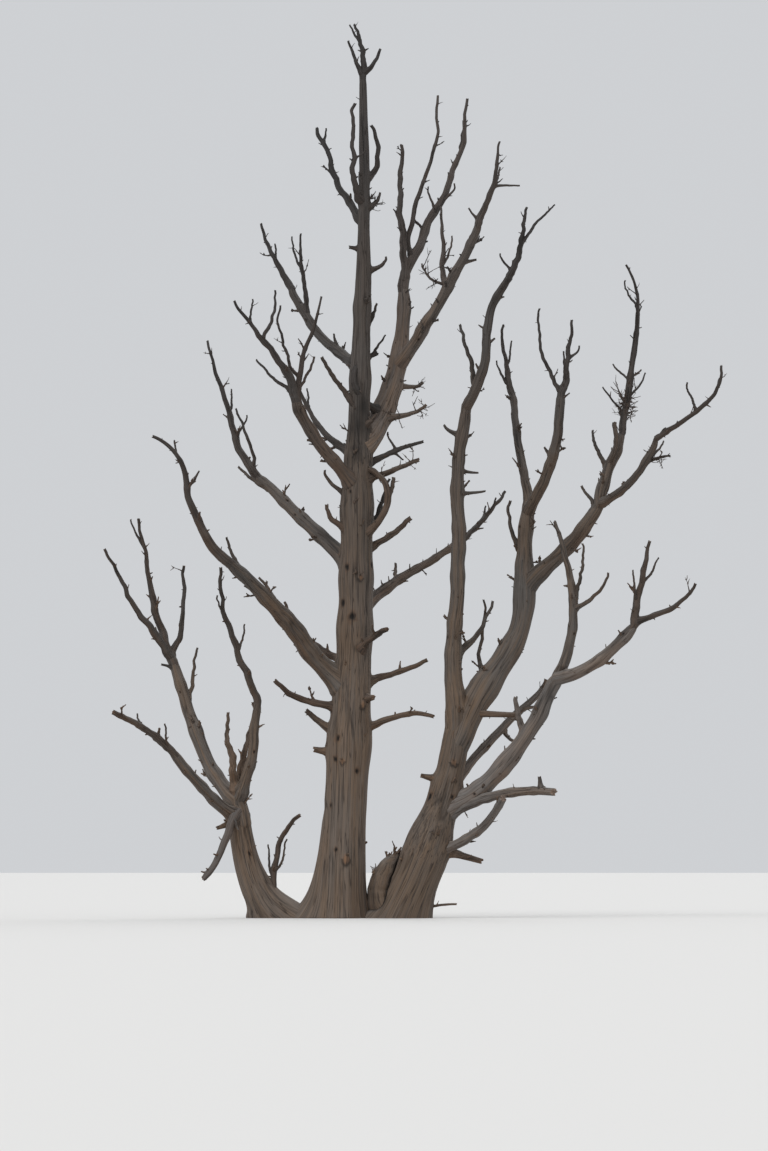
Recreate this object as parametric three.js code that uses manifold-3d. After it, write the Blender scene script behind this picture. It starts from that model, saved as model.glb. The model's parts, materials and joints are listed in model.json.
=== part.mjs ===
// A dead tree: three weathered stems from one root, their boughs, and bare twigs at every tip.
// Millimetres, +Z up. The origin is on the flat ground cut under the middle of the trunk.
// "way" is a compass angle in degrees: 0 right, 90 back, 180 left, 270 front.
import * as THREE from "three";
import { mergeVertices } from "three/addons/utils/BufferGeometryUtils.js";
import Module from "manifold-3d";

const wasm = await Module();
wasm.setup();

// Driving sizes
const TRUNK_TIP = 8510;
const GROUND_BLOCK = 9000;
const JOINT_GAP = 0.3;
const MERGE_DISTANCE = 0.001;
const FLARE_HEIGHT = 240;
const ROOT_SHARPNESS = 4;
const GROUND_OVERRUN = 0.1;
const ROD_HALF = 0.5;
const ROD_END_MARGIN = 0.001;
const RING_SPACING = { stem: 320, bough: 320, twigs: 330, side: 430 };
const SIDES = { stem: 12, bough: 7, twigs: 5, side: 4 };
const CROOK = { stem: 0.004, bough: 0.014, twigs: 0.02, side: 0.024 };
const COLLAR_SWELL = 0.45;
const COLLAR_LIMIT = 0.9;
const SPUR_SPACING = { stem: 900, bough: 360, twigs: 380, side: 700 };
const SPUR_LENGTH = { least: 45, most: 130 };
const SPUR_GIRTH = { least: 6, most: 14, share: 0.4 };
const SPUR_LEAN = { least: 0.35, most: 0.85 };
const SPUR_STRETCH = { first: 0.2, length: 0.76 };
const BEND_WAVES = [2, 3, 5];
const SUNK_SHARE = 0.5;

const BARKLESS_WOOD = { color: 0x5d524a, roughness: 0.9, metalness: 0 };
const FINE_WOOD = { color: 0x4c423b, roughness: 0.92, metalness: 0 };

// Each limb is one curve in an upright plane through its way. It starts at the share "at" of its
// parent's length, runs "out" level and "up" in height, leaves at the angle "rise" above level and
// ends at the angle "lift". "sway" carries its tip sideways out of that plane. "bow" lists how far it
// bends out level in one half wave, in two, and so on. "girth" lists its radii, evenly spaced from
// foot to tip. "side" holds the smaller limbs fused to it.
const STEMS = [
  {
    name: "trunk", foot: [0, 0], out: 225, up: TRUNK_TIP, way: 4, rise: 87, lift: 91,
    bow: [-4, -28, -12, -8],
    girth: [224, 224, 210, 206, 194, 172, 160, 154, 154, 110, 102, 90, 82, 62, 54, 45, 37],
    roots: [
      { way: 182, reach: 340 },
      { way: 8, reach: 90 },
      { way: 275, reach: 90 },
      { way: 95, reach: 110 },
    ],
    side: [
      { at: 0.213, out: 430, up: 250, way: 172, rise: 10, lift: 38, girth: [46, 24] },
      { at: 0.213, out: 850, up: 190, way: -12, rise: 22, lift: -22, girth: [44, 30, 20] },
      { at: 0.273, out: 780, up: 260, way: 18, rise: 12, lift: 24, girth: [46, 32, 20] },
      { at: 0.425, out: 590, up: 400, way: 24, rise: 28, lift: 42, girth: [42, 24] },
      { at: 0.512, out: 640, up: 210, way: -18, rise: 12, lift: 16, girth: [38, 20] },
      { at: 0.445, out: 330, up: 330, way: 205, rise: 50, lift: 95, girth: [38, 18] },
      { at: 0.492, out: 330, up: 300, way: 170, rise: 20, lift: 75, girth: [30, 12] },
      { at: 0.58, out: 430, up: 660, way: 212, rise: 75, lift: 52, girth: [36, 16] },
      { at: 0.765, out: 230, up: 130, way: -8, rise: -8, lift: 92, girth: [31, 11] },
      { at: 0.79, out: 140, up: 20, way: 186, rise: 10, lift: 14, girth: [24, 15] },
      { at: 0.695, out: 150, up: 260, way: 8, rise: 40, lift: 84, girth: [28, 11] },
      { at: 0.846, out: 165, up: 980, way: 236, rise: 30, lift: 100, girth: [34, 24, 14] },
      { at: 0.875, out: 80, up: 540, way: 24, rise: 8, lift: 130, girth: [34, 26, 16] },
      { at: 0.84, out: 160, up: 150, way: 2, rise: -6, lift: 94, girth: [31, 11] },
      { at: 0.575, out: 210, up: 150, way: 330, rise: 40, lift: 70, girth: [34, 14] },
      { at: 0.19, out: 330, up: 60, way: 176, rise: 16, lift: 8, girth: [48, 28] },
      { at: 0.255, out: 270, up: 20, way: 322, rise: 12, lift: 6, girth: [48, 22] },
      {
        at: 0.443, out: 150, up: 720, way: -30, rise: 35, lift: 150, bow: [120],
        girth: [38, 32, 27],
        side: [
          { at: 0.55, out: 60, up: 210, way: 20, rise: 60, lift: 80, girth: [26, 18] },
        ],
      },
    ],
  },
  {
    name: "right_stem", foot: [600, 0], out: 605, up: 2080, way: -8, rise: 66, lift: 84,
    girth: [224, 224, 222, 190, 150, 134, 134, 146],
    roots: [
      { way: 185, reach: 145 },
      { way: -20, reach: 90 },
      { way: 85, reach: 80 },
      { way: 260, reach: 70 },
    ],
    side: [
      {
        at: 0.03, out: 20, up: 575, way: 184, rise: 7, lift: 95, bow: [145],
        girth: [130, 100, 96, 106, 88, 40],
      },
      { at: 0.04, out: 540, up: 60, way: -14, rise: 4, lift: 0, girth: [20, 10] },
      { at: 0.985, out: 560, up: -30, way: -12, rise: -4, lift: 0, girth: [40, 32, 28] },
      { at: 0.335, out: 540, up: -110, way: -10, rise: 0, lift: -14, girth: [52, 28] },
      { at: 0.66, out: 260, up: 60, way: 190, rise: 10, lift: 10, girth: [42, 22] },
    ],
  },
  {
    name: "left_stem", foot: [-655, 0], out: 370, up: 1215, way: 184, rise: 46, lift: 86,
    girth: [142, 130, 120, 114, 110, 114],
    roots: [
      { way: 2, reach: 262 },
      { way: 190, reach: 60 },
      { way: 100, reach: 50 },
      { way: 280, reach: 50 },
    ],
    side: [
      { at: 0.97, out: 150, up: 860, way: 232, rise: 72, lift: 88, girth: [54, 34, 14] },
      { at: 0.98, out: 190, up: 960, way: 40, rise: 80, lift: 84, girth: [46, 30, 12] },
      { at: 0.8, out: 220, up: -60, way: 176, rise: 0, lift: -14, girth: [36, 17] },
    ],
  },
];

const LEADERS = [
  {
    name: "second_leader", on: "trunk", at: 0.552, out: 650, up: 1740, way: 46, rise: 33, lift: 91,
    girth: [132, 110, 88, 70, 62],
    side: [
      { at: 0.25, out: 500, up: 130, way: -20, rise: 14, lift: 44, girth: [42, 25, 14] },
      { at: 0.46, out: 330, up: 40, way: 20, rise: 4, lift: 50, girth: [31, 13] },
    ],
  },
  {
    name: "third_leader", on: "second_leader", at: 0.56, out: 1180, up: 1370, way: -46, rise: 39,
    lift: 59,
    girth: [68, 58, 46, 40],
    side: [
      { at: 0.74, out: 150, up: 30, way: 10, rise: 6, lift: 14, girth: [20, 10] },
      { at: 0.62, out: 140, up: 110, way: -60, rise: 40, lift: 40, girth: [20, 10] },
    ],
  },
];

const TRUNK_BOUGHS = [
  {
    name: "left_high_bough", on: "trunk", at: 0.652, out: 1010, up: 900, way: 136, rise: 18, lift: 59,
    girth: [56, 46, 40],
    side: [
      { at: 0.28, out: 90, up: 190, way: 120, rise: 70, lift: 70, girth: [20, 10] },
    ],
  },
  {
    name: "left_middle_bough", on: "trunk", at: 0.505, out: 830, up: 870, way: 222, rise: 31, lift: 59,
    girth: [66, 58, 54],
    side: [
      { at: 0.55, out: 130, up: 20, way: 215, rise: 20, lift: 0, girth: [22, 11] },
    ],
  },
  {
    name: "left_lower_bough", on: "trunk", at: 0.405, out: 1310, up: 1060, way: 142, rise: 40, lift: 34,
    girth: [84, 70, 58, 46],
    side: [
      { at: 0.84, out: 350, up: 240, way: 172, rise: 16, lift: 44, girth: [25, 11] },
      { at: 0.55, out: 60, up: 90, way: 60, rise: 60, lift: 60, girth: [22, 13] },
    ],
  },
  {
    name: "left_low_bough", on: "trunk", at: 0.262, out: 1410, up: 1270, way: 190, sway: 880,
    rise: 40, lift: 37, bow: [-55],
    girth: [96, 92, 82, 68, 50],
    side: [
      { at: 0.86, out: 200, up: 400, way: 170, rise: 54, lift: 74, girth: [25, 11] },
      { at: 0.63, out: 190, up: 320, way: 160, rise: 80, lift: 42, girth: [25, 11] },
      { at: 0.76, out: 150, up: 60, way: 190, rise: 20, lift: 22, girth: [28, 14] },
    ],
  },
  {
    name: "right_back_bough", on: "trunk", at: 0.36, out: 1670, up: 810, way: 50, rise: 26, lift: 22,
    girth: [72, 50, 40, 34],
    side: [
      { at: 0.4, out: 240, up: 200, way: 90, rise: 40, lift: 70, girth: [25, 13] },
    ],
  },
  {
    name: "back_bough", on: "trunk", at: 0.44, out: 1180, up: 1180, way: 91, rise: 34, lift: 58,
    girth: [78, 58, 50],
    side: [
      { at: 0.6, out: 160, up: 330, way: 80, rise: 60, lift: 84, girth: [25, 11] },
      { at: 0.4, out: 330, up: 60, way: 94, rise: 10, lift: 30, girth: [25, 11] },
    ],
  },
];

const RIGHT_STEM_BOUGHS = [
  {
    name: "right_left_bough", on: "right_stem", at: 0.93, out: 90, up: 3210, way: 6, rise: 94, lift: 87,
    bow: [-18, -32],
    girth: [104, 84, 72, 68, 66, 60, 56],
    side: [
      { at: 0.2, out: 480, up: 600, way: 32, rise: 40, lift: 74, girth: [42, 25, 13] },
      { at: 0.72, out: 280, up: 20, way: -8, rise: 0, lift: 10, girth: [22, 10] },
      { at: 0.79, out: 210, up: -10, way: 12, rise: 4, lift: 0, girth: [20, 10] },
      { at: 0.9, out: 200, up: 120, way: 150, rise: 30, lift: 60, girth: [28, 13] },
    ],
  },
  {
    name: "right_left_upper_bough", on: "right_left_bough", at: 1, out: 615, up: 1257, way: -50, sway: 42,
    rise: 62, lift: 61, bow: [-12, 123, -22],
    girth: [53, 42, 37],
    side: [
      { at: 0.08, out: 120, up: 720, way: 172, rise: 112, lift: 84, girth: [31, 13] },
    ],
  },
  {
    name: "right_right_bough", on: "right_stem", at: 0.82, out: 830, up: 2470, way: 20, sway: 40, rise: 38,
    lift: 63, bow: [85, -108, -72],
    girth: [126, 130, 122, 104, 98, 74, 70],
    side: [
      { at: 0.22, out: 240, up: 1060, way: 66, rise: 60, lift: 88, girth: [36, 20, 10] },
      { at: 0.735, out: 150, up: 700, way: 196, rise: 70, lift: 96, girth: [31, 14] },
    ],
  },
  {
    name: "right_back_top_bough", on: "right_right_bough", at: 0.97, out: 500, up: 1290, way: 109,
    rise: 76, lift: 68,
    girth: [52, 40, 34],
    side: [
      { at: 0.45, out: 60, up: 120, way: 210, rise: 40, lift: 70, girth: [20, 10] },
    ],
  },
  {
    name: "right_front_top_bough", on: "right_right_bough", at: 0.96, out: 640, up: 1160, way: -60,
    rise: 38, lift: 90,
    girth: [60, 50, 44],
    side: [
      { at: 0.5, out: 80, up: 110, way: 170, rise: 50, lift: 60, girth: [20, 10] },
    ],
  },
  {
    name: "right_arching_bough", on: "right_right_bough", at: 0.656, out: 920, up: 865, way: -36, rise: 49,
    lift: 54, bow: [32],
    girth: [80, 70, 62],
    side: [
      { at: 0.9, out: 130, up: 260, way: 175, rise: 110, lift: 70, girth: [25, 11] },
    ],
  },
  {
    name: "right_outer_bough", on: "right_arching_bough", at: 0.99, out: 815, up: 590, way: -48, sway: -40,
    rise: 3, lift: 96, bow: [-123],
    girth: [45, 38, 33],
    side: [
      { at: 0.74, out: 250, up: 70, way: 0, rise: 24, lift: 2, girth: [20, 10] },
      { at: 0.78, out: 200, up: 190, way: 30, rise: 20, lift: 60, girth: [17, 8] },
    ],
  },
  {
    name: "right_inner_bough", on: "right_arching_bough", at: 0.98, out: 350, up: 750, way: 50, sway: -30,
    rise: 106, lift: 35, bow: [115],
    girth: [60, 54, 40],
    side: [
      { at: 0.42, out: 150, up: 400, way: 168, rise: 64, lift: 92, girth: [25, 11] },
      { at: 0.5, out: 80, up: 400, way: 300, rise: 30, lift: 104, girth: [32, 22] },
    ],
  },
  {
    name: "low_front_bough", on: "right_stem", at: 0.53, out: 1250, up: 1320, way: -6, sway: -764, rise: 6,
    lift: 74, bow: [-111],
    girth: [98, 90, 84, 74, 66],
    side: [
      { at: 0.62, out: 60, up: 440, way: 185, rise: 98, lift: 84, girth: [39, 21] },
    ],
  },
  {
    name: "low_outer_bough", on: "low_front_bough", at: 0.97, out: 860, up: 510, way: -30, rise: 4,
    lift: 47,
    girth: [64, 58, 46],
    side: [
      { at: 0.5, out: 110, up: 70, way: 40, rise: 30, lift: 40, girth: [20, 10] },
    ],
  },
  {
    name: "low_upright_bough", on: "low_front_bough", at: 0.96, out: 5, up: 1590, way: 178, sway: -420,
    rise: 112, lift: 74, bow: [-40],
    girth: [56, 46, 34, 16],
    side: [
      { at: 0.5, out: 100, up: 560, way: 20, rise: 50, lift: 84, girth: [22, 10] },
      { at: 0.45, out: 360, up: 340, way: -20, rise: 12, lift: 74, girth: [25, 11] },
    ],
  },
  {
    name: "low_back_bough", on: "right_stem", at: 0.575, out: 1260, up: 1210, way: 32, rise: 55, lift: 47,
    girth: [48, 44, 38, 28],
    side: [
      { at: 0.76, out: 160, up: 30, way: -4, rise: 10, lift: 4, girth: [22, 11] },
      { at: 0.6, out: 170, up: -150, way: 320, rise: -80, lift: 0, girth: [22, 13] },
    ],
  },
  {
    name: "low_level_bough", on: "right_stem", at: 0.46, out: 1307, up: 300, way: -12, sway: -695, rise: 37,
    lift: -8,
    girth: [56, 50, 46, 43, 38],
    side: [
      { at: 0.9, out: 20, up: 130, way: 180, rise: 95, lift: 95, girth: [28, 17] },
    ],
  },
  {
    name: "lowest_bough", on: "right_stem", at: 0.31, out: 910, up: 540, way: -10, sway: -870, rise: 10,
    lift: 57, bow: [-31],
    girth: [56, 46, 42, 34],
  },
];

const LEFT_STEM_BOUGHS = [
  {
    name: "far_left_bough", on: "left_stem", at: 0.82, out: 910, up: 680, way: 224, rise: 27, lift: 46,
    girth: [58, 50, 44],
  },
  {
    name: "left_rising_bough", on: "left_stem", at: 0.955, out: 870, up: 1450, way: 140, sway: 26, rise: 29,
    lift: 77, bow: [-51],
    girth: [76, 66, 60, 52],
    side: [
      { at: 0.72, out: 110, up: 580, way: 20, rise: 74, lift: 80, girth: [25, 11] },
      { at: 0.93, out: 150, up: 60, way: 196, rise: 40, lift: 10, girth: [20, 11] },
    ],
  },
  {
    name: "left_upright_bough", on: "left_stem", at: 0.97, out: 320, up: 985, way: -50, rise: 57,
    lift: 93,
    girth: [58, 46, 40],
  },
];

const TRUNK_TWIGS = [
  {
    name: "top_twigs", on: "trunk", at: 1, out: 90, up: 530, way: 164, rise: 100, lift: 66,
    girth: [36, 24, 12],
    side: [
      { at: 0.02, out: 150, up: 340, way: 192, rise: 62, lift: 76, girth: [25, 11] },
      { at: 0.05, out: 190, up: 230, way: -24, rise: 26, lift: 78, girth: [28, 13] },
      { at: 0.66, out: 110, up: 160, way: 200, rise: 50, lift: 70, girth: [15, 8] },
    ],
  },
  {
    name: "top_left_twigs", on: "trunk", at: 0.823, out: 610, up: 1020, way: 142, rise: 44, lift: 68,
    girth: [40, 30, 18],
    side: [
      { at: 0.86, out: 30, up: 150, way: 20, rise: 80, lift: 96, girth: [14, 8] },
      { at: 0.45, out: 160, up: 240, way: 110, rise: 30, lift: 70, girth: [17, 8] },
    ],
  },
  {
    name: "left_high_twigs", on: "left_high_bough", at: 1, out: 370, up: 695, way: 148, rise: 54,
    lift: 72,
    girth: [38, 23, 12],
    side: [
      { at: 0.4, out: 160, up: 230, way: 100, rise: 40, lift: 80, girth: [15, 8] },
    ],
  },
  {
    name: "left_high_uprights", on: "left_high_bough", at: 0.71, out: 70, up: 840, way: 214, rise: 88,
    lift: 92,
    girth: [29, 19, 10],
    side: [
      { at: 0.5, out: 120, up: 390, way: 186, rise: 60, lift: 84, girth: [15, 8] },
    ],
  },
  {
    name: "left_middle_twigs", on: "left_middle_bough", at: 1, out: 700, up: 920, way: 212, rise: 83,
    lift: 58,
    girth: [51, 34, 23, 12],
    side: [
      { at: 0.6, out: 150, up: 500, way: 34, rise: 60, lift: 104, girth: [20, 10] },
      { at: 0.06, out: 380, up: 330, way: 166, rise: 30, lift: 52, girth: [21, 10] },
      { at: 0.8, out: 60, up: 230, way: 60, rise: 70, lift: 80, girth: [13, 8] },
    ],
  },
  {
    name: "left_middle_uprights", on: "left_middle_bough", at: 0.9, out: 235, up: 1110, way: 12, rise: 92,
    lift: 74,
    girth: [32, 22, 10],
    side: [
      { at: 0.26, out: 205, up: 730, way: 160, rise: 42, lift: 92, girth: [18, 10] },
      { at: 0.12, out: 190, up: 350, way: -30, rise: 60, lift: 70, girth: [17, 10] },
    ],
  },
  {
    name: "left_back_twigs", on: "trunk", at: 0.547, out: 770, up: 770, way: 143, rise: 14, lift: 74,
    girth: [48, 28, 14],
    side: [
      { at: 0.7, out: 210, up: 260, way: 100, rise: 30, lift: 70, girth: [17, 8] },
    ],
  },
  {
    name: "left_lower_twigs", on: "left_lower_bough", at: 1, out: 610, up: 1440, way: 150, rise: 57,
    lift: 77,
    girth: [45, 28, 12],
    side: [
      { at: 0.03, out: 190, up: 660, way: 184, rise: 84, lift: 60, girth: [21, 10] },
      { at: 0.45, out: 210, up: 330, way: 90, rise: 30, lift: 74, girth: [17, 8] },
      { at: 0.3, out: 130, up: 250, way: 30, rise: 50, lift: 70, girth: [14, 8] },
    ],
  },
  {
    name: "left_low_twigs", on: "left_low_bough", at: 1, out: 780, up: 1180, way: 206, rise: 31, lift: 22,
    girth: [52, 38, 26, 14],
    side: [
      { at: 0.56, out: 120, up: 160, way: 10, rise: 40, lift: 70, girth: [17, 8] },
      { at: 0.22, out: 170, up: 340, way: 150, rise: 60, lift: 60, girth: [20, 10] },
      { at: 0.7, out: 190, up: 280, way: 120, rise: 40, lift: 80, girth: [15, 8] },
    ],
  },
  {
    name: "left_low_back_twigs", on: "trunk", at: 0.3, out: 950, up: 640, way: 138, rise: 5, lift: 62,
    girth: [45, 28, 14],
    side: [
      { at: 0.62, out: 190, up: 180, way: 186, rise: 20, lift: 60, girth: [17, 8] },
    ],
  },
  {
    name: "low_left_snag", on: "trunk", at: 0.243, out: 760, up: 290, way: 186, rise: 14, lift: 52,
    girth: [42, 32, 22],
    side: [
      { at: 0.78, out: 100, up: 110, way: 170, rise: 40, lift: 80, girth: [13, 8] },
    ],
  },
  {
    name: "front_snag", on: "trunk", at: 0.3, out: 560, up: 300, way: -54, rise: 44, lift: 2,
    girth: [52, 36, 22],
    side: [
      { at: 0.66, out: 90, up: 100, way: 250, rise: 30, lift: 80, girth: [15, 8] },
    ],
  },
  {
    name: "right_middle_twigs", on: "trunk", at: 0.437, out: 420, up: 700, way: 38, rise: 44, lift: 68,
    girth: [42, 25, 12],
    side: [
      { at: 0.5, out: 150, up: 220, way: 70, rise: 30, lift: 80, girth: [15, 8] },
    ],
  },
  {
    name: "right_fork_twigs", on: "trunk", at: 0.526, out: 720, up: 330, way: 24, rise: 32, lift: 14,
    girth: [38, 28, 14],
    side: [
      { at: 0.6, out: 90, up: 190, way: 160, rise: 70, lift: 100, girth: [15, 8] },
      { at: 0.55, out: 100, up: -80, way: 350, rise: -30, lift: -40, girth: [14, 8] },
    ],
  },
  {
    name: "back_twigs", on: "back_bough", at: 1, out: 420, up: 1160, way: 88, rise: 58, lift: 84,
    girth: [48, 31, 14],
    side: [
      { at: 0.3, out: 330, up: 420, way: 92, rise: 30, lift: 76, girth: [20, 10] },
      { at: 0.12, out: 190, up: 620, way: 268, rise: 60, lift: 92, girth: [20, 10] },
      { at: 0.62, out: 160, up: 330, way: 262, rise: 60, lift: 80, girth: [14, 8] },
    ],
  },
  {
    name: "right_back_twigs", on: "right_back_bough", at: 1, out: 730, up: 570, way: 48, rise: 29,
    lift: 46,
    girth: [32, 25, 14],
    side: [
      { at: 0.4, out: 230, up: 210, way: 70, rise: 30, lift: 70, girth: [18, 8] },
      { at: 0.55, out: 120, up: 190, way: 330, rise: 50, lift: 80, girth: [15, 8] },
    ],
  },
];

const LEADER_TWIGS = [
  {
    name: "leader_top_twigs", on: "second_leader", at: 1, out: 850, up: 2040, way: 38, rise: 67, lift: 88,
    girth: [56, 42, 28, 14],
    side: [
      { at: 0.03, out: 40, up: 1410, way: 130, rise: 84, lift: 92, girth: [42, 32, 18] },
      { at: 0.15, out: 270, up: 1670, way: -16, rise: 94, lift: 92, girth: [28, 20, 12] },
      { at: 0.42, out: 80, up: 240, way: 175, rise: 50, lift: 84, girth: [15, 8] },
      { at: 0.47, out: 130, up: 170, way: -10, rise: 20, lift: 100, girth: [15, 8] },
      { at: 0.7, out: 120, up: 420, way: 60, rise: 60, lift: 84, girth: [14, 8] },
    ],
  },
  {
    name: "leader_hook_twigs", on: "second_leader", at: 0.3, out: 110, up: 590, way: 235, rise: 15,
    lift: 130, bow: [330],
    girth: [36, 30, 22],
    side: [
      { at: 0.9, out: 200, up: 210, way: 330, rise: 40, lift: 60, girth: [17, 8] },
    ],
  },
  {
    name: "third_leader_twigs", on: "third_leader", at: 1, out: 290, up: 770, way: -45, rise: 53,
    lift: 85,
    girth: [37, 23, 10],
    side: [
      { at: 0.46, out: 270, up: 20, way: 12, rise: 14, lift: 0, girth: [15, 8] },
      { at: 0.5, out: 110, up: 180, way: 60, rise: 40, lift: 80, girth: [14, 8] },
      { at: 0.03, out: 110, up: 110, way: 200, rise: 30, lift: 60, girth: [15, 8] },
    ],
  },
  {
    name: "third_leader_uprights", on: "third_leader", at: 0.58, out: 130, up: 830, way: 122, rise: 60,
    lift: 84,
    girth: [32, 20, 10],
    side: [
      { at: 0.05, out: 260, up: 190, way: 196, rise: -10, lift: 88, girth: [17, 8] },
      { at: 0.3, out: 110, up: 300, way: 20, rise: 50, lift: 96, girth: [14, 8] },
    ],
  },
];

const RIGHT_STEM_TWIGS = [
  {
    name: "right_left_twigs", on: "right_left_upper_bough", at: 1, out: 205, up: 690, way: -30, rise: 60,
    lift: 84,
    girth: [38, 25, 12],
    side: [
      { at: 0.5, out: 340, up: 400, way: 8, rise: 52, lift: 38, girth: [18, 8] },
      { at: 0.1, out: 120, up: 180, way: 170, rise: 50, lift: 80, girth: [14, 8] },
    ],
  },
  {
    name: "right_back_top_twigs", on: "right_back_top_bough", at: 1, out: 110, up: 690, way: 130,
    rise: 76, lift: 100,
    girth: [35, 22, 12],
    side: [
      { at: 0.1, out: 130, up: 240, way: 190, rise: 40, lift: 80, girth: [15, 8] },
      { at: 0.4, out: 120, up: 260, way: 60, rise: 40, lift: 84, girth: [14, 8] },
    ],
  },
  {
    name: "right_front_top_twigs", on: "right_front_top_bough", at: 1, out: 110, up: 740, way: -10,
    rise: 76, lift: 86,
    girth: [42, 25, 12],
    side: [
      { at: 0.04, out: 220, up: 830, way: 176, rise: 44, lift: 92, girth: [22, 10] },
      { at: 0.5, out: 110, up: 120, way: 10, rise: 20, lift: 96, girth: [14, 8] },
      { at: 0.2, out: 190, up: 260, way: 260, rise: 30, lift: 80, girth: [15, 8] },
    ],
  },
  {
    name: "right_inner_twigs", on: "right_inner_bough", at: 1, out: 67, up: 1705, way: 40, rise: 68,
    lift: 143, bow: [-97, 48],
    girth: [38, 34, 26, 16, 10],
    side: [
      { at: 0.1, out: 210, up: 300, way: 176, rise: 60, lift: 50, girth: [13, 8] },
      { at: 0.2, out: 190, up: 260, way: -20, rise: 40, lift: 70, girth: [13, 8] },
      { at: 0.14, out: 160, up: 210, way: 280, rise: 30, lift: 70, girth: [13, 8] },
      { at: 0.3, out: 190, up: 180, way: 150, rise: 40, lift: 50, girth: [13, 8] },
      { at: 0.66, out: 140, up: 330, way: 205, rise: 80, lift: 96, girth: [14, 8] },
    ],
  },
  {
    name: "right_outer_twigs", on: "right_outer_bough", at: 1, out: 690, up: 680, way: -26, rise: 12,
    lift: 80, bow: [-21, -52],
    girth: [29, 24, 19, 12],
    side: [
      { at: 0.5, out: 90, up: 290, way: 160, rise: 80, lift: 92, girth: [15, 8] },
      { at: 0.08, out: 80, up: 90, way: 40, rise: 60, lift: 20, girth: [13, 8] },
      { at: 0.62, out: 160, up: 240, way: 40, rise: 30, lift: 70, girth: [14, 8] },
    ],
  },
  {
    name: "low_outer_twigs", on: "low_outer_bough", at: 1, out: 150, up: 810, way: -10, rise: 84,
    lift: 76,
    girth: [44, 30, 15],
    side: [
      { at: 0.04, out: 600, up: 370, way: 6, rise: 16, lift: 66, girth: [30, 24, 14] },
      { at: 0.48, out: 190, up: 270, way: 24, rise: 44, lift: 68, girth: [15, 8] },
      { at: 0.3, out: 130, up: 280, way: 250, rise: 40, lift: 80, girth: [14, 8] },
    ],
  },
];

const LEFT_STEM_TWIGS = [
  {
    name: "far_left_twigs", on: "far_left_bough", at: 1, out: 670, up: 360, way: 216, rise: 42, lift: 21,
    girth: [42, 34, 24],
    side: [
      { at: 0.5, out: 110, up: 150, way: 130, rise: 40, lift: 80, girth: [14, 8] },
      { at: 0.05, out: 180, up: 230, way: 260, rise: 20, lift: 60, girth: [14, 8] },
    ],
  },
  {
    name: "left_rising_twigs", on: "left_rising_bough", at: 1, out: 530, up: 1480, way: 136, rise: 59,
    lift: 78,
    girth: [50, 36, 24, 14],
    side: [
      { at: 0.02, out: 730, up: 1090, way: 204, rise: 46, lift: 58, girth: [40, 28, 14] },
      { at: 0.03, out: 190, up: 940, way: 52, rise: 64, lift: 104, girth: [34, 24, 13] },
      { at: 0.82, out: 140, up: 270, way: 196, rise: 50, lift: 76, girth: [13, 8] },
      { at: 0.5, out: 160, up: 260, way: 110, rise: 40, lift: 80, girth: [15, 8] },
    ],
  },
  {
    name: "left_upright_twigs", on: "left_upright_bough", at: 1, out: 400, up: 1320, way: 205, rise: 69,
    lift: 96,
    girth: [38, 30, 15],
    side: [
      { at: 0.36, out: 70, up: 300, way: 20, rise: 70, lift: 84, girth: [14, 8] },
      { at: 0.6, out: 150, up: 260, way: 230, rise: 50, lift: 84, girth: [14, 8] },
    ],
  },
  {
    name: "drooping_twigs", on: "left_stem", at: 0.86, out: 320, up: -640, way: 262, sway: -290, rise: 25,
    lift: -70,
    girth: [44, 38, 26],
    side: [
      { at: 0.3, out: 110, up: -110, way: 300, rise: -20, lift: -60, girth: [14, 8] },
    ],
  },
  {
    name: "low_shoots", on: "left_stem", at: 0.09, out: 380, up: 930, way: -30, rise: 72, lift: 30,
    girth: [34, 28, 18],
    side: [
      { at: 0.3, out: 60, up: 330, way: 160, rise: 60, lift: 84, girth: [14, 8] },
      { at: 0.35, out: 140, up: 330, way: 340, rise: 40, lift: 80, girth: [14, 8] },
    ],
  },
];

const BOUGHS = [...LEADERS, ...TRUNK_BOUGHS, ...RIGHT_STEM_BOUGHS, ...LEFT_STEM_BOUGHS];
const TWIGS = [...TRUNK_TWIGS, ...LEADER_TWIGS, ...RIGHT_STEM_TWIGS, ...LEFT_STEM_TWIGS];

// Seeded chance

const SEED_MODULUS = 2147483647;
const SEED_FACTOR = 16807;

/** A repeatable stream of numbers from 0 to 1, set by a name. */
function chanceFrom(name) {
  let state = 1;
  for (const letter of name) {
    state = (state * 31 + letter.charCodeAt(0)) % SEED_MODULUS;
  }
  return () => {
    state = (state * SEED_FACTOR) % SEED_MODULUS;
    return state / SEED_MODULUS;
  };
}

// Limb curves

const ALOFT = new THREE.Vector3(0, 0, 1);
const CYLINDER_AXIS = new THREE.Vector3(0, 1, 0);
const SHARE_STEP = 0.001;

/** The level direction of a compass angle. */
function levelWay(degrees) {
  const angle = THREE.MathUtils.degToRad(degrees);
  return new THREE.Vector3(Math.cos(angle), Math.sin(angle), 0);
}

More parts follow.
